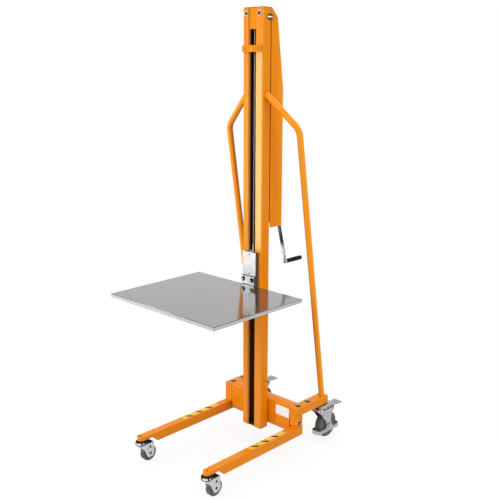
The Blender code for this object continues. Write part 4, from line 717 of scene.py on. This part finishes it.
def add_block(shape, low, high, place=Matrix.Identity(4)):
    size = Matrix.Diagonal((high[0] - low[0], high[1] - low[1], high[2] - low[2], 1.0))
    middle = Matrix.Translation([(a + b) / 2 for a, b in zip(low, high)])
    bmesh.ops.create_cube(shape, size=1.0, matrix=place @ middle @ size)


def rounded_outline(width, depth, corner, steps):
    points = []
    for sign_x, sign_y, start in ((1, 1, 0), (-1, 1, 90), (-1, -1, 180), (1, -1, 270)):
        for i in range(steps + 1):
            angle = math.radians(start + 90 * i / steps)
            x = sign_x * (width / 2 - corner) + corner * math.cos(angle)
            y = sign_y * (depth / 2 - corner) + corner * math.sin(angle)
            points.append((x, y))
    return points


def add_slab(shape, outline, thickness, place, crown=0.0):
    """A flat outline raised to a thickness, with its top edge drawn in by the crown."""
    inner = 1.0
    if crown > 0:
        inner = 1 - crown / max(abs(x) for x, _ in outline)
    levels = ((0.0, 1.0), (thickness - crown, 1.0), (thickness, inner))
    rings = []
    for height, scale in levels:
        rings.append([shape.verts.new(place @ Vector((x * scale, y * scale, height))) for x, y in outline])
    add_ring_faces(shape, rings, True, False)
    shape.faces.new(list(reversed(rings[0])))
    shape.faces.new(rings[-1])


def weld_bead(name, path, body, radius, seed, closed=True):
    """A painted weld: a low rippled bead along a path."""
    chance = random.Random(seed)
    shape = bmesh.new()
    radii = []
    for i in range(len(path)):
        ripple = 0.12 * math.sin(i * 2.1) + chance.uniform(-0.06, 0.06)
        radii.append(radius * (1 + ripple))
    add_tube(shape, path, radii, 10, closed)
    return add_shape(name, shape, body, [PAINT], math.radians(70))


def straight_weld(name, start, end, body, radius, seed):
    count = max(6, int((Vector(end) - Vector(start)).length / (1.1 * radius)))
    path = [Vector(start).lerp(Vector(end), i / count) for i in range(count + 1)]
    return weld_bead(name, path, body, radius, seed, False)


def hex_radius(angle, across):
    """Distance to a hexagon's side, for half of its width across flats."""
    turned = (angle % (math.pi / 3)) - math.pi / 6
    return across / math.cos(turned)


def add_hex_bolt(shape, place, head_radius, head_height, washer_radius, washer_height):
    """Chamfered hexagon head with a raised centre, on a washer; place puts +Z outwards at the seat."""
    flat = head_radius * math.cos(math.pi / 6)
    seat = washer_height
    top = washer_height + head_height
    chamfer = 0.18 * head_height
    levels = [
        (0.5 * washer_radius, 0.0),
        (washer_radius * 0.97, 0.0),
        (washer_radius, 0.2 * washer_height),
        (washer_radius, 0.8 * washer_height),
        (washer_radius * 0.96, seat),
        (lambda angle: hex_radius(angle, flat), seat),
        (lambda angle: hex_radius(angle, flat), top - 1.6 * chamfer),
        (lambda angle: min(hex_radius(angle, flat), flat * 1.02), top - 0.6 * chamfer),
        (flat * 0.93, top),
        (flat * 0.55, top),
        (flat * 0.50, top - 0.0004),
        (0.0, top - 0.0004),
    ]
    add_turned(shape, levels, place, SCREW_STEPS, 0.5)


def add_socket_screw(shape, place, radius, height, socket):
    """Button head with a hexagon socket; place puts +Z outwards at the seat."""
    levels = [
        (radius, 0.0),
        (radius, 0.25 * height),
        (0.90 * radius, 0.68 * height),
        (0.68 * radius, 0.95 * height),
        (1.12 * socket, height),
        (lambda angle: hex_radius(angle, socket), 0.95 * height),
        (lambda angle: hex_radius(angle, socket), 0.25 * height),
        (0.0, 0.15 * height),
    ]
    add_turned(shape, levels, place, SCREW_STEPS)


def outward_place(seat, direction):
    """A matrix at the seat whose +Z points along the direction."""
    turn = Vector((0, 0, 1)).rotation_difference(Vector(direction)).to_matrix().to_4x4()
    return Matrix.Translation(seat) @ turn


def build_painted_frame():
    """Base, legs, cap, stop bar and cover, with the edge radii of bent and cut steel."""
    edges = {
        "head_insert": 0.0004,
        "mast_spacer": 0.0008,
        "cross_beam": 0.0006,
        "rear_arm_left": 0.0010,
        "rear_arm_right": 0.0010,
        "leg_bracket_left": 0.0010,
        "leg_bracket_right": 0.0010,
        "leg_left": 0.0014,
        "leg_right": 0.0014,
    }
    for node, edge in edges.items():
        refine(node, edge)

    # painted shade: the stop bar's end faces are darker, tan at its left end and deep orange at its right
    def bar_side(centre, normal):
        if normal.x < -0.35:
            return 1
        return 2 if normal.x > 0.35 else 0

    refine("stop_bar", 0.0010, materials=[PAINT, STOP_BAR_SHADE_LEFT, STOP_BAR_SHADE_RIGHT], choose=bar_side)

    # painted shade: the cap's side faces are dark brown-orange
    refine(
        "mast_cap", 0.0, materials=[PAINT, PAINT_SHADE],
        choose=lambda centre, normal: int(normal.z < 0.5),
    )
    cover_low, cover_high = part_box("winch_cover")

    # painted shade: the cover's inner faces take the dark inside steel
    def cover_inside(centre, normal):
        to_middle = centre.x * normal.x < -0.001
        forward = normal.y < -0.3 and centre.y > cover_low.y + 0.020
        downward = normal.z < -0.5 and centre.z > cover_high.z - 0.10
        return 1 if to_middle or forward or downward else 0

    refine("winch_cover", 0.0, materials=[COVER_COAT, MAST_INSIDE], choose=cover_inside)


def build_mast():
    low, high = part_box("mast")
    wall = 0.0032

    # painted shade: faces inside the mast take the dark inside steel
    def shaded_inside(centre, normal):
        inside_x = low.x + wall < centre.x < high.x - wall
        inside_y = low.y + 0.5 * wall < centre.y < high.y - 0.5 * wall
        return 1 if inside_x and inside_y else 0

    refine("mast", 0.0, materials=[MAST_COAT, MAST_INSIDE], choose=shaded_inside)


def build_bolts():
    """Hexagon bolts on washers, with painted light on the tops of their heads and painted shade on the rest; those
    at the front are light only at the middle of their heads.
    """
    head_radius = 0.0078
    head_height = 0.0050
    washer_radius = 0.0108
    arm_washer_radius = 0.0134
    front_light_radius = 0.0045
    washer_height = 0.0015
    forward = (0, -1, 0)
    upward = (0, 0, 1)
    outward = {}
    for _, word in SIDES:
        for number in (1, 2):
            outward["arm_bolt_%s_%d" % (word, number)] = upward
        outward["bracket_bolt_" + word] = forward
    outward["side_bolt_left"] = (-1, 0, 0)
    outward["side_bolt_right"] = (1, 0, 0)
    for node, direction in outward.items():
        low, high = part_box(node)
        middle = (low + high) / 2
        reach = [high[i] if direction[i] > 0 else low[i] for i in range(3)]
        top = Vector([reach[i] if direction[i] else middle[i] for i in range(3)])
        seat = top - Vector(direction) * (head_height + washer_height)
        washer = arm_washer_radius if direction == upward else washer_radius
        light_radius = front_light_radius if direction == forward else washer
        place = outward_place(seat, direction)
        shape = bmesh.new()
        add_hex_bolt(shape, place, head_radius, head_height, washer, washer_height)
        mesh = finish_mesh(node + "_head", shape)
        smooth(mesh, math.radians(25))
        out = Vector(direction)
        # painted light on the head tops, painted shade on the washers and head sides, near black at the front
        for face in mesh.polygons:
            offset = face.center - seat
            rise = offset.dot(out)
            on_top = rise > washer_height + 0.85 * head_height and face.normal.dot(out) > 0.9
            central = (offset - out * rise).length < light_radius
            face.material_index = 0 if on_top and central else 1
        rim = CROWN_BLACK if direction == forward else BOLT_SHADED
        piece = add_piece(node + "_head", mesh, BODY_OF[node], [BOLT_LIT, rim])
        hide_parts(node)


def add_screw(name, seat, direction, sizes, body, material):
    """One socket screw as a piece; its sizes are radius, height and half the socket's width."""
    shape = bmesh.new()
    add_socket_screw(shape, outward_place(seat, direction), *sizes)
    add_shape(name, shape, body, [material])


def build_screws():
    """Small screws that the CAD leaves out: mast head, leg tip, stop bar and carriage block."""
    forward = (0, -1, 0)
    mast_low, mast_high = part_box("mast")
    cap_thickness = 0.002
    drop = 0.025
    washer_top = 0.0023
    washer = [
        (0.0042, 0.0), (0.0108, 0.0), (0.0112, 0.0005), (0.0112, 0.0018), (0.0106, washer_top),
        (0.0042, washer_top),
    ]
    for side, word in SIDES:
        seat = Vector((side * 0.038, mast_low.y, mast_high.z + cap_thickness - drop))
        shape = bmesh.new()
        add_lathe(shape, [(r, -h) for r, h in washer], "Y", seat, 40)
        place = outward_place(seat, forward) @ Matrix.Translation((0, 0, 0.0020))
        add_socket_screw(shape, place, 0.0068, 0.0042, 0.0024)
        # painted shade: the screw heads beyond their washers are near black
        metals = [SCREW_METAL, DARK_SHADE_METAL]
        piece = add_shape("head_screw_" + word, shape, "chassis", metals)
        for face in piece.data.polygons:
            face.material_index = 1 if face.center.y < mast_low.y - 0.0024 else 0

    tip = Vector((-0.2280, -0.4245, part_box("leg_left")[1].z))
    sizes = (0.0050, 0.0030, 0.0018)
    add_screw("stem_lock_screw", tip, (0, 0, 1), sizes, "chassis", BLACK_NYLON)
    bar_low, bar_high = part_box("stop_bar")
    sizes = (0.0058, 0.0026, 0.0020)
    for side, word in SIDES:
        seat = Vector((side * 0.036, bar_low.y - 0.0001, (bar_low.z + bar_high.z) / 2))
        add_screw("stop_screw_" + word, seat, forward, sizes, "chassis", PAINT)
    block_low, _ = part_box("carriage_block")
    sizes = (0.0040, 0.0018, 0.0015)
    for number, height in ((1, 0.930), (2, 0.839)):
        seat = Vector((0.0, block_low.y, height))
        add_screw("block_screw_%d" % number, seat, forward, sizes, "carriage", DARK_ZINC)


def handle_path(side, steps):
    """Foot, bend and top of one push handle, the same places as its CAD node."""
    foot = Vector((side * 0.212, 0.3413, 0.2223))
    corner = Vector((side * 0.212, 0.1428, 1.492))
    top = Vector((side * 0.058, 0.1013, 1.640))
    radius = 0.070
    down = (foot - corner).normalized()
    inward = (top - corner).normalized()
    half = down.angle(inward) / 2
    reach = radius / math.tan(half)
    centre = corner + (down + inward).normalized() * (radius / math.sin(half))
    first = corner + down * reach - centre
    last = corner + inward * reach - centre
    spread = first.angle(last)
    sunk = 0.002
    straight = 24
    start = centre + first
    points = [foot + down * sunk]
    for i in range(1, straight):
        points.append(foot.lerp(start, i / straight))
    for i in range(steps + 1):
        share = i / steps
        spot = first * math.sin((1 - share) * spread) + last * math.sin(share * spread)
        points.append(centre + spot / math.sin(spread))
    points.append(top - inward * 0.03)
    points.append(top + inward * 0.0015)
    return points, foot, top


def ring_round(centre, direction, radius, plane_normal, count):
    """Where a round tube through the centre meets a plane: an ellipse of points."""
    direction = Vector(direction).normalized()
    normal = Vector(plane_normal)
    side = direction.orthogonal().normalized()
    up = direction.cross(side)
    points = []
    for i in range(count):
        angle = 2 * math.pi * i / count
        spot = (side * math.cos(angle) + up * math.sin(angle)) * radius
        slide = -spot.dot(normal) / direction.dot(normal)
        points.append(Vector(centre) + spot + direction * slide)
    return points


def build_handles():
    radius = 0.014
    weld_out = radius + 0.0008
    for side, word in SIDES:
        node = "handle_" + word
        points, foot, top = handle_path(side, 20)
        shape = bmesh.new()
        add_tube(shape, points, radius, 36)
        piece = add_shape(node + "_tube", shape, "chassis", [HANDLE_COAT[word]])
        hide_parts(node)
        lean = points[1] - points[0]
        foot_ring = ring_round(foot, lean, weld_out, (0, 0, 1), 56)
        weld_bead(node + "_foot_weld", foot_ring, "chassis", 0.0026, 3 + side)
        slope = points[-1] - points[-2]
        top_ring = ring_round(top, slope, weld_out, (1, 0, 0), 60)
        weld_bead(node + "_top_weld", top_ring, "chassis", 0.0024, 7 + side)


def build_base_welds():
    """Beads along the joints of the cross beam, the arms, the brackets and the mast's spacer."""
    beam_low, beam_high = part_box("cross_beam")
    spacer_low, spacer_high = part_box("mast_spacer")
    rear = beam_high.y
    front = beam_low.y
    inset = 0.002
    radius = 0.0020
    for side, word in SIDES:
        arm_low, arm_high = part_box("rear_arm_" + word)
        bracket_low, bracket_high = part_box("leg_bracket_" + word)
        leg_low, leg_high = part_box("leg_" + word)
        inner = arm_low.x if side > 0 else arm_high.x
        edge = bracket_low.x if side > 0 else bracket_high.x
        flank = spacer_high.x if side > 0 else spacer_low.x
        from_x = leg_low.x + inset
        to_x = leg_high.x - inset
        back = leg_high.y
        lip = bracket_low.y
        top = leg_high.z
        beads = (
            ("beam_arm", (inner, rear, arm_low.z + 0.003), (inner, rear, arm_high.z - 0.003), 1.0, 11),
            (
                "beam_bracket", (edge, rear, bracket_low.z + inset),
                (edge, rear, bracket_high.z - inset), 1.0, 17,
            ),
            ("leg_rear", (from_x, back, top), (to_x, back, top), 1.0, 23),
            ("leg_front", (from_x, lip, top + 0.0005), (to_x, lip, top + 0.0005), 0.8, 29),
            (
                "spacer", (flank, front, spacer_low.z + 0.004),
                (flank, front, spacer_high.z - 0.004), 1.0, 31,
            ),
        )
        for joint, start, end, scale, seed in beads:
            name = "%s_weld_%s" % (joint, word)
            straight_weld(name, start, end, "chassis", radius * scale, seed + side)


def build_head_seam():
    """The shadow line of the joint between the head insert and the mast's left front lip."""
    low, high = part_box("head_insert")
    edge = -SLOT_HALF - 0.0075
    width = 0.0034
    shape = bmesh.new()
    add_block(shape, (edge, MAST_FACE - 0.0003, low.z), (edge + width, MAST_FACE + 0.0001, high.z))
    mesh = finish_mesh("head_seam", shape)
    add_piece("head_seam", mesh, "chassis", [CROWN_BLACK])


def build_type_plate():
    """A bare plate on the beam's front, held by four small rivets."""
    beam_low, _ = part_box("cross_beam")
    centre = Vector((0.145, beam_low.y, 0.185))
    width = 0.084
    height = 0.048
    thickness = 0.0008
    rivet = [(0.0016, 0.0), (0.0015, -0.0004), (0.0009, -0.0008), (0.0, -0.0009)]
    place = Matrix.Translation(centre) @ Matrix.Rotation(math.pi / 2, 4, "X")
    shape = bmesh.new()
    add_slab(shape, rounded_outline(width, height, 0.003, 5), thickness, place, 0.0002)
    add_shape("type_plate", shape, "chassis", [PLATE_FILM])
    shape = bmesh.new()
    for x in (-1, 1):
        for z in (-1, 1):
            seat = centre + Vector((x * (width / 2 - 0.004), -thickness, z * (height / 2 - 0.004)))
            add_lathe(shape, rivet, "Y", seat, 20)
    add_shape("type_plate_rivets", shape, "chassis", [DARK_ZINC])


def build_leg_strips():
    """Two-tone film with plain slanted dark bars on top of each leg."""
    length = 0.226
    width = 0.013
    middle_y = -0.127
    bars_y = (-0.204, -0.138, -0.074)
    for _, word in SIDES:
        leg_low, leg_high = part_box("leg_" + word)
        middle_x = (leg_low.x + leg_high.x) / 2
        for tone, shift_x, material in (("far", -width / 2, YELLOW_FILM), ("near", width / 2, AMBER_FILM)):
            centre = Vector((middle_x + shift_x - 0.001, MAST_FACE + middle_y, leg_high.z + 0.0001))
            shape = bmesh.new()
            add_slab(shape, rounded_outline(width, length, 0.003, 4), 0.0003, Matrix.Translation(centre))
            add_shape("leg_strip_%s_%s" % (tone, word), shape, "chassis", [material])
        for part, low_x, high_x, depth, material in (
            ("marks", -0.005, 0.0105, 0.018, BLACK_FILM), ("tails", -0.0125, -0.005, 0.010, OLIVE_FILM),
        ):
            shape = bmesh.new()
            for y in bars_y:
                spot = Matrix.Translation((middle_x - 0.001, y + MAST_FACE, leg_high.z + 0.0003))
                corners = [
                    (low_x, low_x), (high_x, high_x), (high_x, high_x + depth), (low_x, low_x + depth),
                ]
                add_slab(shape, [(x, across - depth / 2) for x, across in corners], 0.0004, spot)
            mesh = finish_mesh("leg_%s_%s" % (part, word), shape)
            add_piece("leg_%s_%s" % (part, word), mesh, "chassis", [material])


def rope_points(path, spacing):
    """Evenly spaced points along a polyline."""
    points = [Vector(point) for point in path]
    lengths = [(b - a).length for a, b in zip(points, points[1:])]
    total = sum(lengths)
    count = max(2, int(total / spacing))
    even = []
    segment = 0
    passed = 0.0
    for i in range(count + 1):
        target = total * i / count
        while segment < len(lengths) - 1 and passed + lengths[segment] < target:
            passed += lengths[segment]
            segment += 1
        share = (target - passed) / lengths[segment]
        even.append(points[segment].lerp(points[segment + 1], share))
    return even


def twisted_rope(name, path, radius, lay, steps, sides):
    """Six strands laid round a core, as one mesh."""
    centre = rope_points(path, lay / steps)
    frames = path_frames(centre, False)
    strand = radius * 0.36
    shape = bmesh.new()
    for number in range(6):
        line = []
        for i, (point, (_, side, up)) in enumerate(zip(centre, frames)):
            angle = 2 * math.pi * (number / 6 + i / steps)
            line.append(point + (side * math.cos(angle) + up * math.sin(angle)) * (radius - strand))
        add_tube(shape, line, strand, sides)
    add_tube(shape, centre[:: max(1, steps // 2)], radius * 0.45, sides)
    mesh = finish_mesh(name, shape, 0.0000001)
    smooth(mesh, math.radians(80))
    piece = link_object(name, mesh)
    mesh.materials.append(WIRE)
    return piece


def build_ropes():
    radius = 0.002
    pulley = JOINT_AT["pulley_spin"]
    drum = JOINT_AT["drum_spin"]
    on_pulley = 0.0315
    on_drum = 0.0273
    lay = 0.022
    ferrule_low, ferrule_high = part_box("rope_ferrule")
    ferrule = (ferrule_low + ferrule_high) / 2
    top = Vector((0, pulley.y - on_pulley, pulley.z - 0.0003))
    bottom = Vector((0, ferrule.y, ferrule_high.z + 0.0003))
    front = twisted_rope("lift_rope_front_strands", [top, bottom], radius, lay, 10, 6)
    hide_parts("lift_rope_front")
    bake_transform(front)

    over = []
    for i in range(31):
        angle = math.pi * (1 - i / 30)
        over.append((0, pulley.y + on_pulley * math.cos(angle), pulley.z + on_pulley * math.sin(angle)))
    over.append((on_drum, drum.y, drum.z))
    rear = twisted_rope("lift_rope_rear_strands", over, radius, lay, 10, 5)
    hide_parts("lift_rope_rear")
    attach(rear, "chassis")

    turns = 7.5
    pitch = 2.05 * radius
    wound = []
    for i in range(int(turns * 40)):
        angle = 2 * math.pi * i / 40
        y = drum.y - turns * pitch / 2 + pitch * i / 40
        wound.append((drum.x + on_drum * math.cos(angle), y, drum.z + on_drum * math.sin(angle)))
    shape = bmesh.new()
    add_tube(shape, wound, radius * 0.98, 10)
    add_shape("rope_on_drum", shape, "winch_drum", [WIRE], math.radians(80))


def build_winch():
    for node in ("winch_frame", "carriage_core"):
        refine(node, 0.0005)
    for node in ("rope_drum", "drum_gear", "head_pulley", "rope_ferrule", "pinion_shaft"):
        refine(node)
    refine("pulley_axle", materials=[NUT_CHROME])
    axis = JOINT_AT["pulley_spin"]
    _, mast_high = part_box("mast")
    # washers round the axle nut, coloured dark brown as painted shade
    outline = rounded_outline(0.027, 0.040, 0.012, 6)
    thickness = 0.0012
    shape = bmesh.new()
    for side in (-1, 1):
        place = outward_place((side * mast_high.x, axis.y, axis.z), (side, 0, 0))
        add_slab(shape, outline, thickness, place, 0.0004)
    add_shape("pulley_axle_washers", shape, "chassis", [WASHER_SHADE_STEEL])


def build_crank():
    refine("crank_arm", 0.0008, materials=[CRANK_STEEL])
    grip_low, grip_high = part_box("crank_grip")
    axis = JOINT_AT["grip_spin"]
    length = grip_high.y - grip_low.y
    radius = (grip_high.z - grip_low.z) / 2
    start = grip_low.y - axis.y
    bore = 0.0048
    dome_start = start + length * 0.95
    dome_height = 0.0054
    profile = [(bore, start), (radius * 0.80, start), (radius * 0.93, start + 0.0012)]
    for share, scale in (
        (0.03, 0.95), (0.10, 0.935), (0.25, 0.94), (0.42, 0.97), (0.58, 1.0), (0.78, 1.0), (0.92, 0.985),
    ):
        profile.append((radius * scale, start + share * length))
    for i in range(1, 7):
        angle = math.radians(15 * i)
        out = radius * (0.35 + 0.63 * math.cos(angle))
        profile.append((out, dome_start + dome_height * math.sin(angle)))
    profile.append((0.0, start + length))
    piece = lathe("crank_grip_sleeve", profile, "Y", axis, "grip", BLACK_GRIP, 48)
    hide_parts("crank_grip")


def build_carriage():
    # painted shade: the block's and bracket's side faces are dark brown, and the bracket's top face near black as
    # a shadow line
    def shaded_faces(centre, normal):
        if abs(normal.x) > 0.7:
            return 1
        return 2 if normal.z > 0.7 else 0

    def lip_side(centre, normal):
        return 1 if abs(normal.z) < 0.3 else 0

    refine("carriage_block", 0.0008, materials=[ALUMINIUM, ALUMINIUM_SHADED, ALUMINIUM], choose=shaded_faces)
    refine(
        "platform_bracket", 0.0006, materials=[BRACKET_METAL, ALUMINIUM_SHADED, DARK_SHADE_METAL],
        choose=shaded_faces,
    )
    refine("platform_frame", 0.0008)
    refine("platform", 0.0012, 3, materials=[SHEET, SHEET_LIP], choose=lip_side)
    for height in ("upper", "lower"):
        for _, word in SIDES:
            refine("%s_roller_%s" % (height, word), 0.0008)


def tyre_section(radius, half, core):
    """Tyre section with round shoulders, from the right side over the tread to the left."""
    shoulder = 0.26 * half
    points = [(core, 0.86 * half), (core + 0.002, 0.93 * half)]
    for i in range(7):
        angle = math.radians(90 - 15 * i)
        out = radius - shoulder + shoulder * math.cos(angle)
        points.append((out, half * 0.94 - shoulder + shoulder * math.sin(angle)))
    points.append((radius, 0.25 * half))
    return points + [(r, -h) for r, h in reversed(points)]


def build_wheel(node, joint, ribs):
    """Tyre, ribbed core and bearing covers of one castor wheel."""
    low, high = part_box(node)
    centre = JOINT_AT[joint]
    radius = (high.z - low.z) / 2
    half = (high.x - low.x) / 2
    core = 0.70 * radius
    hub = 0.30 * radius
    body = BODY_OF[node]
    tread = tyre_section(radius, half, core)
    tyre = lathe(node + "_tyre", tread, "X", centre, body, TYRE, 96, True)
    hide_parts(node)
    web = 0.35 * half
    rib_half = 0.018 * radius
    rim_side = 0.84 * half
    section = [
        (0.13 * radius, half),
        (hub * 0.92, half),
        (hub, 0.94 * half),
        (hub * 1.08, web),
        (core * 0.86, web),
        (core * 0.92, rim_side),
        (core + 0.0005, rim_side),
    ]
    profile = section + [(r, -h) for r, h in reversed(section)]
    shape = bmesh.new()
    add_lathe(shape, profile, "X", centre, 72, True)
    for side in (-1, 1):
        for i in range(ribs):
            turn = Matrix.Translation(centre) @ Matrix.Rotation(2 * math.pi * (i + 0.5) / ribs, 4, "X")
            low_x, high_x = sorted((side * web * 0.9, side * rim_side * 0.86))
            add_block(shape, (low_x, -rib_half, hub), (high_x, rib_half, core * 0.90), turn)
    mesh = bpy.data.meshes.new(node + "_core")
    bmesh.ops.recalc_face_normals(shape, faces=shape.faces)
    shape.to_mesh(mesh)
    shape.free()
    smooth(mesh)
    add_piece(node + "_core", mesh, body, [GREY_PLASTIC])
    shape = bmesh.new()
    for side in (-1, 1):
        face = side * (half + 0.0002)
        recess = face - side * 0.001
        cover = [
            (0.105 * radius, recess), (0.12 * radius, face), (0.22 * radius, face),
            (0.235 * radius, recess),
        ]
        add_lathe(shape, cover, "X", centre, 40)
    add_shape(node + "_bearing", shape, body, [ZINC])


def build_front_castors():
    rivet_rim = 0.0034
    slot_back = 0.038
    slot_height = 0.0690
    for _, word in SIDES:
        swivel = JOINT_AT["front_%s_castor_swivel" % word]
        axle = JOINT_AT["front_%s_wheel_roll" % word]
        node = "front_fork_" + word
        ring_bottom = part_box(node)[1].z - RING_HEIGHT

        def ring_or_fork(centre, normal, level=ring_bottom):
            if normal.z > 0.7 and centre.z > level - 0.012:
                return 2
            return 1 if centre.z > level else 0

        parts = [FORK_STEEL, RING_CHROME[word], CROWN_BLACK]
        refine(node, 0.0006, materials=parts, choose=ring_or_fork)
        refine("front_stem_" + word, materials=[STEM_STEEL])
        build_wheel("front_wheel_" + word, "front_%s_wheel_roll" % word, 8)
        body = BODY_OF[node]
        wheel_low, wheel_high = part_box("front_wheel_" + word)
        half = (wheel_high.x - wheel_low.x) / 2 + FRONT_CHEEK_OUT
        shape = bmesh.new()
        rivet = [
            (0.0070, 0.0), (0.0068, 0.0006), (0.0036, 0.0007), (0.0033, 0.0016), (0.0024, 0.0022),
            (0.0, 0.0024),
        ]
        for sign in (-1, 1):
            seat = Vector((swivel.x + sign * half, axle.y, axle.z))
            add_lathe(shape, [(r, sign * h) for r, h in rivet], "X", seat, 28)
        mesh = finish_mesh(node + "_rivets", shape)
        smooth(mesh)
        for face in mesh.polygons:
            face.material_index = 1 if (face.center - seat).yz.length > rivet_rim else 0
        add_piece(node + "_rivets", mesh, body, [ZINC, CROWN_BLACK])
        shape = bmesh.new()
        for sign in (-1, 1):
            spot = Vector((swivel.x + sign * half, swivel.y + slot_back, slot_height))
            turn = outward_place(spot, (sign, 0, 0))
            add_slab(shape, rounded_outline(0.0125, 0.0085, 0.0040, 6), 0.0003, turn)
        add_shape(node + "_slots", shape, body, [BLACK_NYLON])


def build_rear_castors():
    for _, word in SIDES:
        refine("rear_plate_" + word, 0.0006)
        refine("rear_fork_" + word, 0.0006, materials=[REAR_FORK_STEEL])
        guard = "foot_guard_" + word
        guard_centre = JOINT_AT["rear_%s_wheel_roll" % word]

        # painted shade: the guard's inward faces below the axle are near black
        def guard_shaded_inside(centre, normal, middle=guard_centre):
            inward = Vector((normal.x * (centre.x - middle.x), normal.y * (centre.y - middle.y), 0))
            level = centre.z < middle.z - 0.008
            return 1 if level and min(inward.x, inward.y) < -0.0005 and abs(normal.z) < 0.5 else 0

        refine(guard, 0.0004, materials=[GUARD_STEEL, GUARD_INSIDE_SHADE], choose=guard_shaded_inside)
        build_wheel("rear_wheel_" + word, "rear_%s_wheel_roll" % word, 10)
        build_pedal(word)


def build_pedal(word):
    """Plain pressed blade, with slanted grip ribs on the fork's shoulder beside it."""
    node = "brake_pedal_" + word
    refine(node, 0.0006, materials=[PEDAL_STEEL])
    fork = "rear_fork_" + word
    low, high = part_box("rear_wheel_" + word)
    hinge = JOINT_AT[word + "_brake_press"]
    middle_x = (low.x + high.x) / 2
    half = (high.x - low.x) / 2 + REAR_CHEEK_OUT
    first_y = hinge.y - 0.066
    first_z = hinge.z + 0.0035
    pitch_y = 0.0155
    pitch_z = 0.0002
    slant = Matrix.Rotation(math.radians(32), 4, "X")
    shape = bmesh.new()
    for sign in (-1, 1):
        outward = Matrix.Rotation(sign * math.pi / 2, 4, "Y")
        for step in range(5):
            spot = (middle_x + sign * half, first_y + pitch_y * step, first_z + pitch_z * step)
            place = Matrix.Translation(spot)
            add_slab(shape, rounded_outline(0.0170, 0.0072, 0.0030, 4), 0.0009, place @ slant @ outward)
    add_shape(node + "_ribs", shape, BODY_OF[fork], [BLACK_NYLON])


def look_matrix(place, target):
    direction = Vector(target) - Vector(place)
    return Matrix.Translation(place) @ direction.to_track_quat("-Z", "Y").to_matrix().to_4x4()


def add_soft_light(name, place, target, width, height, radiance):
    """A soft box; its power follows from how bright its face is."""
    data = bpy.data.lights.new(name, "AREA")
    data.shape = "RECTANGLE"
    data.size = width
    data.size_y = height
    data.energy = radiance * math.pi * width * height
    link_object(name, data).matrix_world = look_matrix(place, target)


def build_lights():
    for soft_box in SOFT_BOXES:
        add_soft_light(*soft_box)


def seen_directly(tree):
    """1 for camera, glossy and transmission rays, otherwise 0."""
    camera_ray = add_node(tree, "LightPath", {}, "Is Camera Ray")
    total = camera_ray
    for name in ("Is Glossy Ray", "Is Transmission Ray"):
        ray = camera_ray.node.outputs[name]
        total = add_node(tree, "Math", {0: total, 1: ray}, "Value", "MAXIMUM")
    return total


def build_world():
    world = bpy.data.worlds.new("studio")
    bpy.context.scene.world = world
    world.use_nodes = True
    tree = world.node_tree
    background = tree.nodes["Background"]
    background.inputs["Color"].default_value = (1, 1, 1, 1)
    levels = {"Value": seen_directly(tree), "To Min": WORLD_LIGHT, "To Max": 1.0}
    tree.links.new(add_node(tree, "MapRange", levels, "Result"), background.inputs["Strength"])


def build_floor():
    """A pale floor that shows white to the camera and keeps the object's shadow."""
    material = bpy.data.materials.new("pale_floor")
    material.use_nodes = True
    tree = material.node_tree
    tree.nodes.remove(tree.nodes["Principled BSDF"])
    plain = add_node(tree, "BsdfDiffuse", {"Color": FLOOR_LIT}, 0)
    shadow = add_node(tree, "BsdfDiffuse", {"Color": FLOOR_SHOWN}, 0)
    glow = add_node(tree, "Emission", {"Strength": FLOOR_GLOW}, 0)
    shown = add_node(tree, "AddShader", {0: shadow, 1: glow}, 0)
    place = add_node(tree, "TexCoord", {}, "Object")
    distance = add_node(tree, "VectorMath", {0: place}, "Value", "LENGTH")
    reach = {"Value": distance, "From Min": FLOOR_FADE_START, "From Max": FLOOR_FADE_END}
    fade = add_node(tree, "MapRange", reach, "Result")
    fade.node.interpolation_type = "SMOOTHSTEP"
    white = add_node(tree, "Emission", {}, 0)
    paper = add_node(tree, "MixShader", {0: fade, 1: shown, 2: white}, 0)
    choose = add_node(tree, "MixShader", {0: seen_directly(tree), 1: plain, 2: paper}, 0)
    tree.links.new(choose, tree.nodes["Material Output"].inputs["Surface"])
    shape = bmesh.new()
    bmesh.ops.create_circle(shape, cap_ends=True, radius=14.0, segments=64)
    mesh = bpy.data.meshes.new("floor")
    shape.to_mesh(mesh)
    shape.free()
    mesh.materials.append(material)
    floor = link_object("floor", mesh)
    floor.location = (0, 0, -FLOOR_DROP)


def build_camera():
    data = bpy.data.cameras.new("photo_camera")
    data.sensor_fit = "HORIZONTAL"
    data.sensor_width = CAMERA_SENSOR
    data.lens = CAMERA_LENS
    data.clip_end = 60
    camera = link_object("photo_camera", data)
    turn = (
        Matrix.Rotation(CAMERA_YAW, 4, "Z")
        @ Matrix.Rotation(math.pi / 2 - CAMERA_PITCH, 4, "X")
        @ Matrix.Rotation(CAMERA_ROLL, 4, "Z")
    )
    camera.matrix_world = Matrix.Translation(CAMERA_PLACE) @ turn
    bpy.context.scene.camera = camera


build_camera()
build_ropes()
build_painted_frame()
build_mast()
build_handles()
build_base_welds()
build_bolts()
build_screws()
build_head_seam()
build_type_plate()
build_leg_strips()
build_winch()
build_crank()
build_carriage()
build_front_castors()
build_rear_castors()
build_lights()
build_world()
build_floor()
bpy.context.scene.view_settings.view_transform = "Standard"
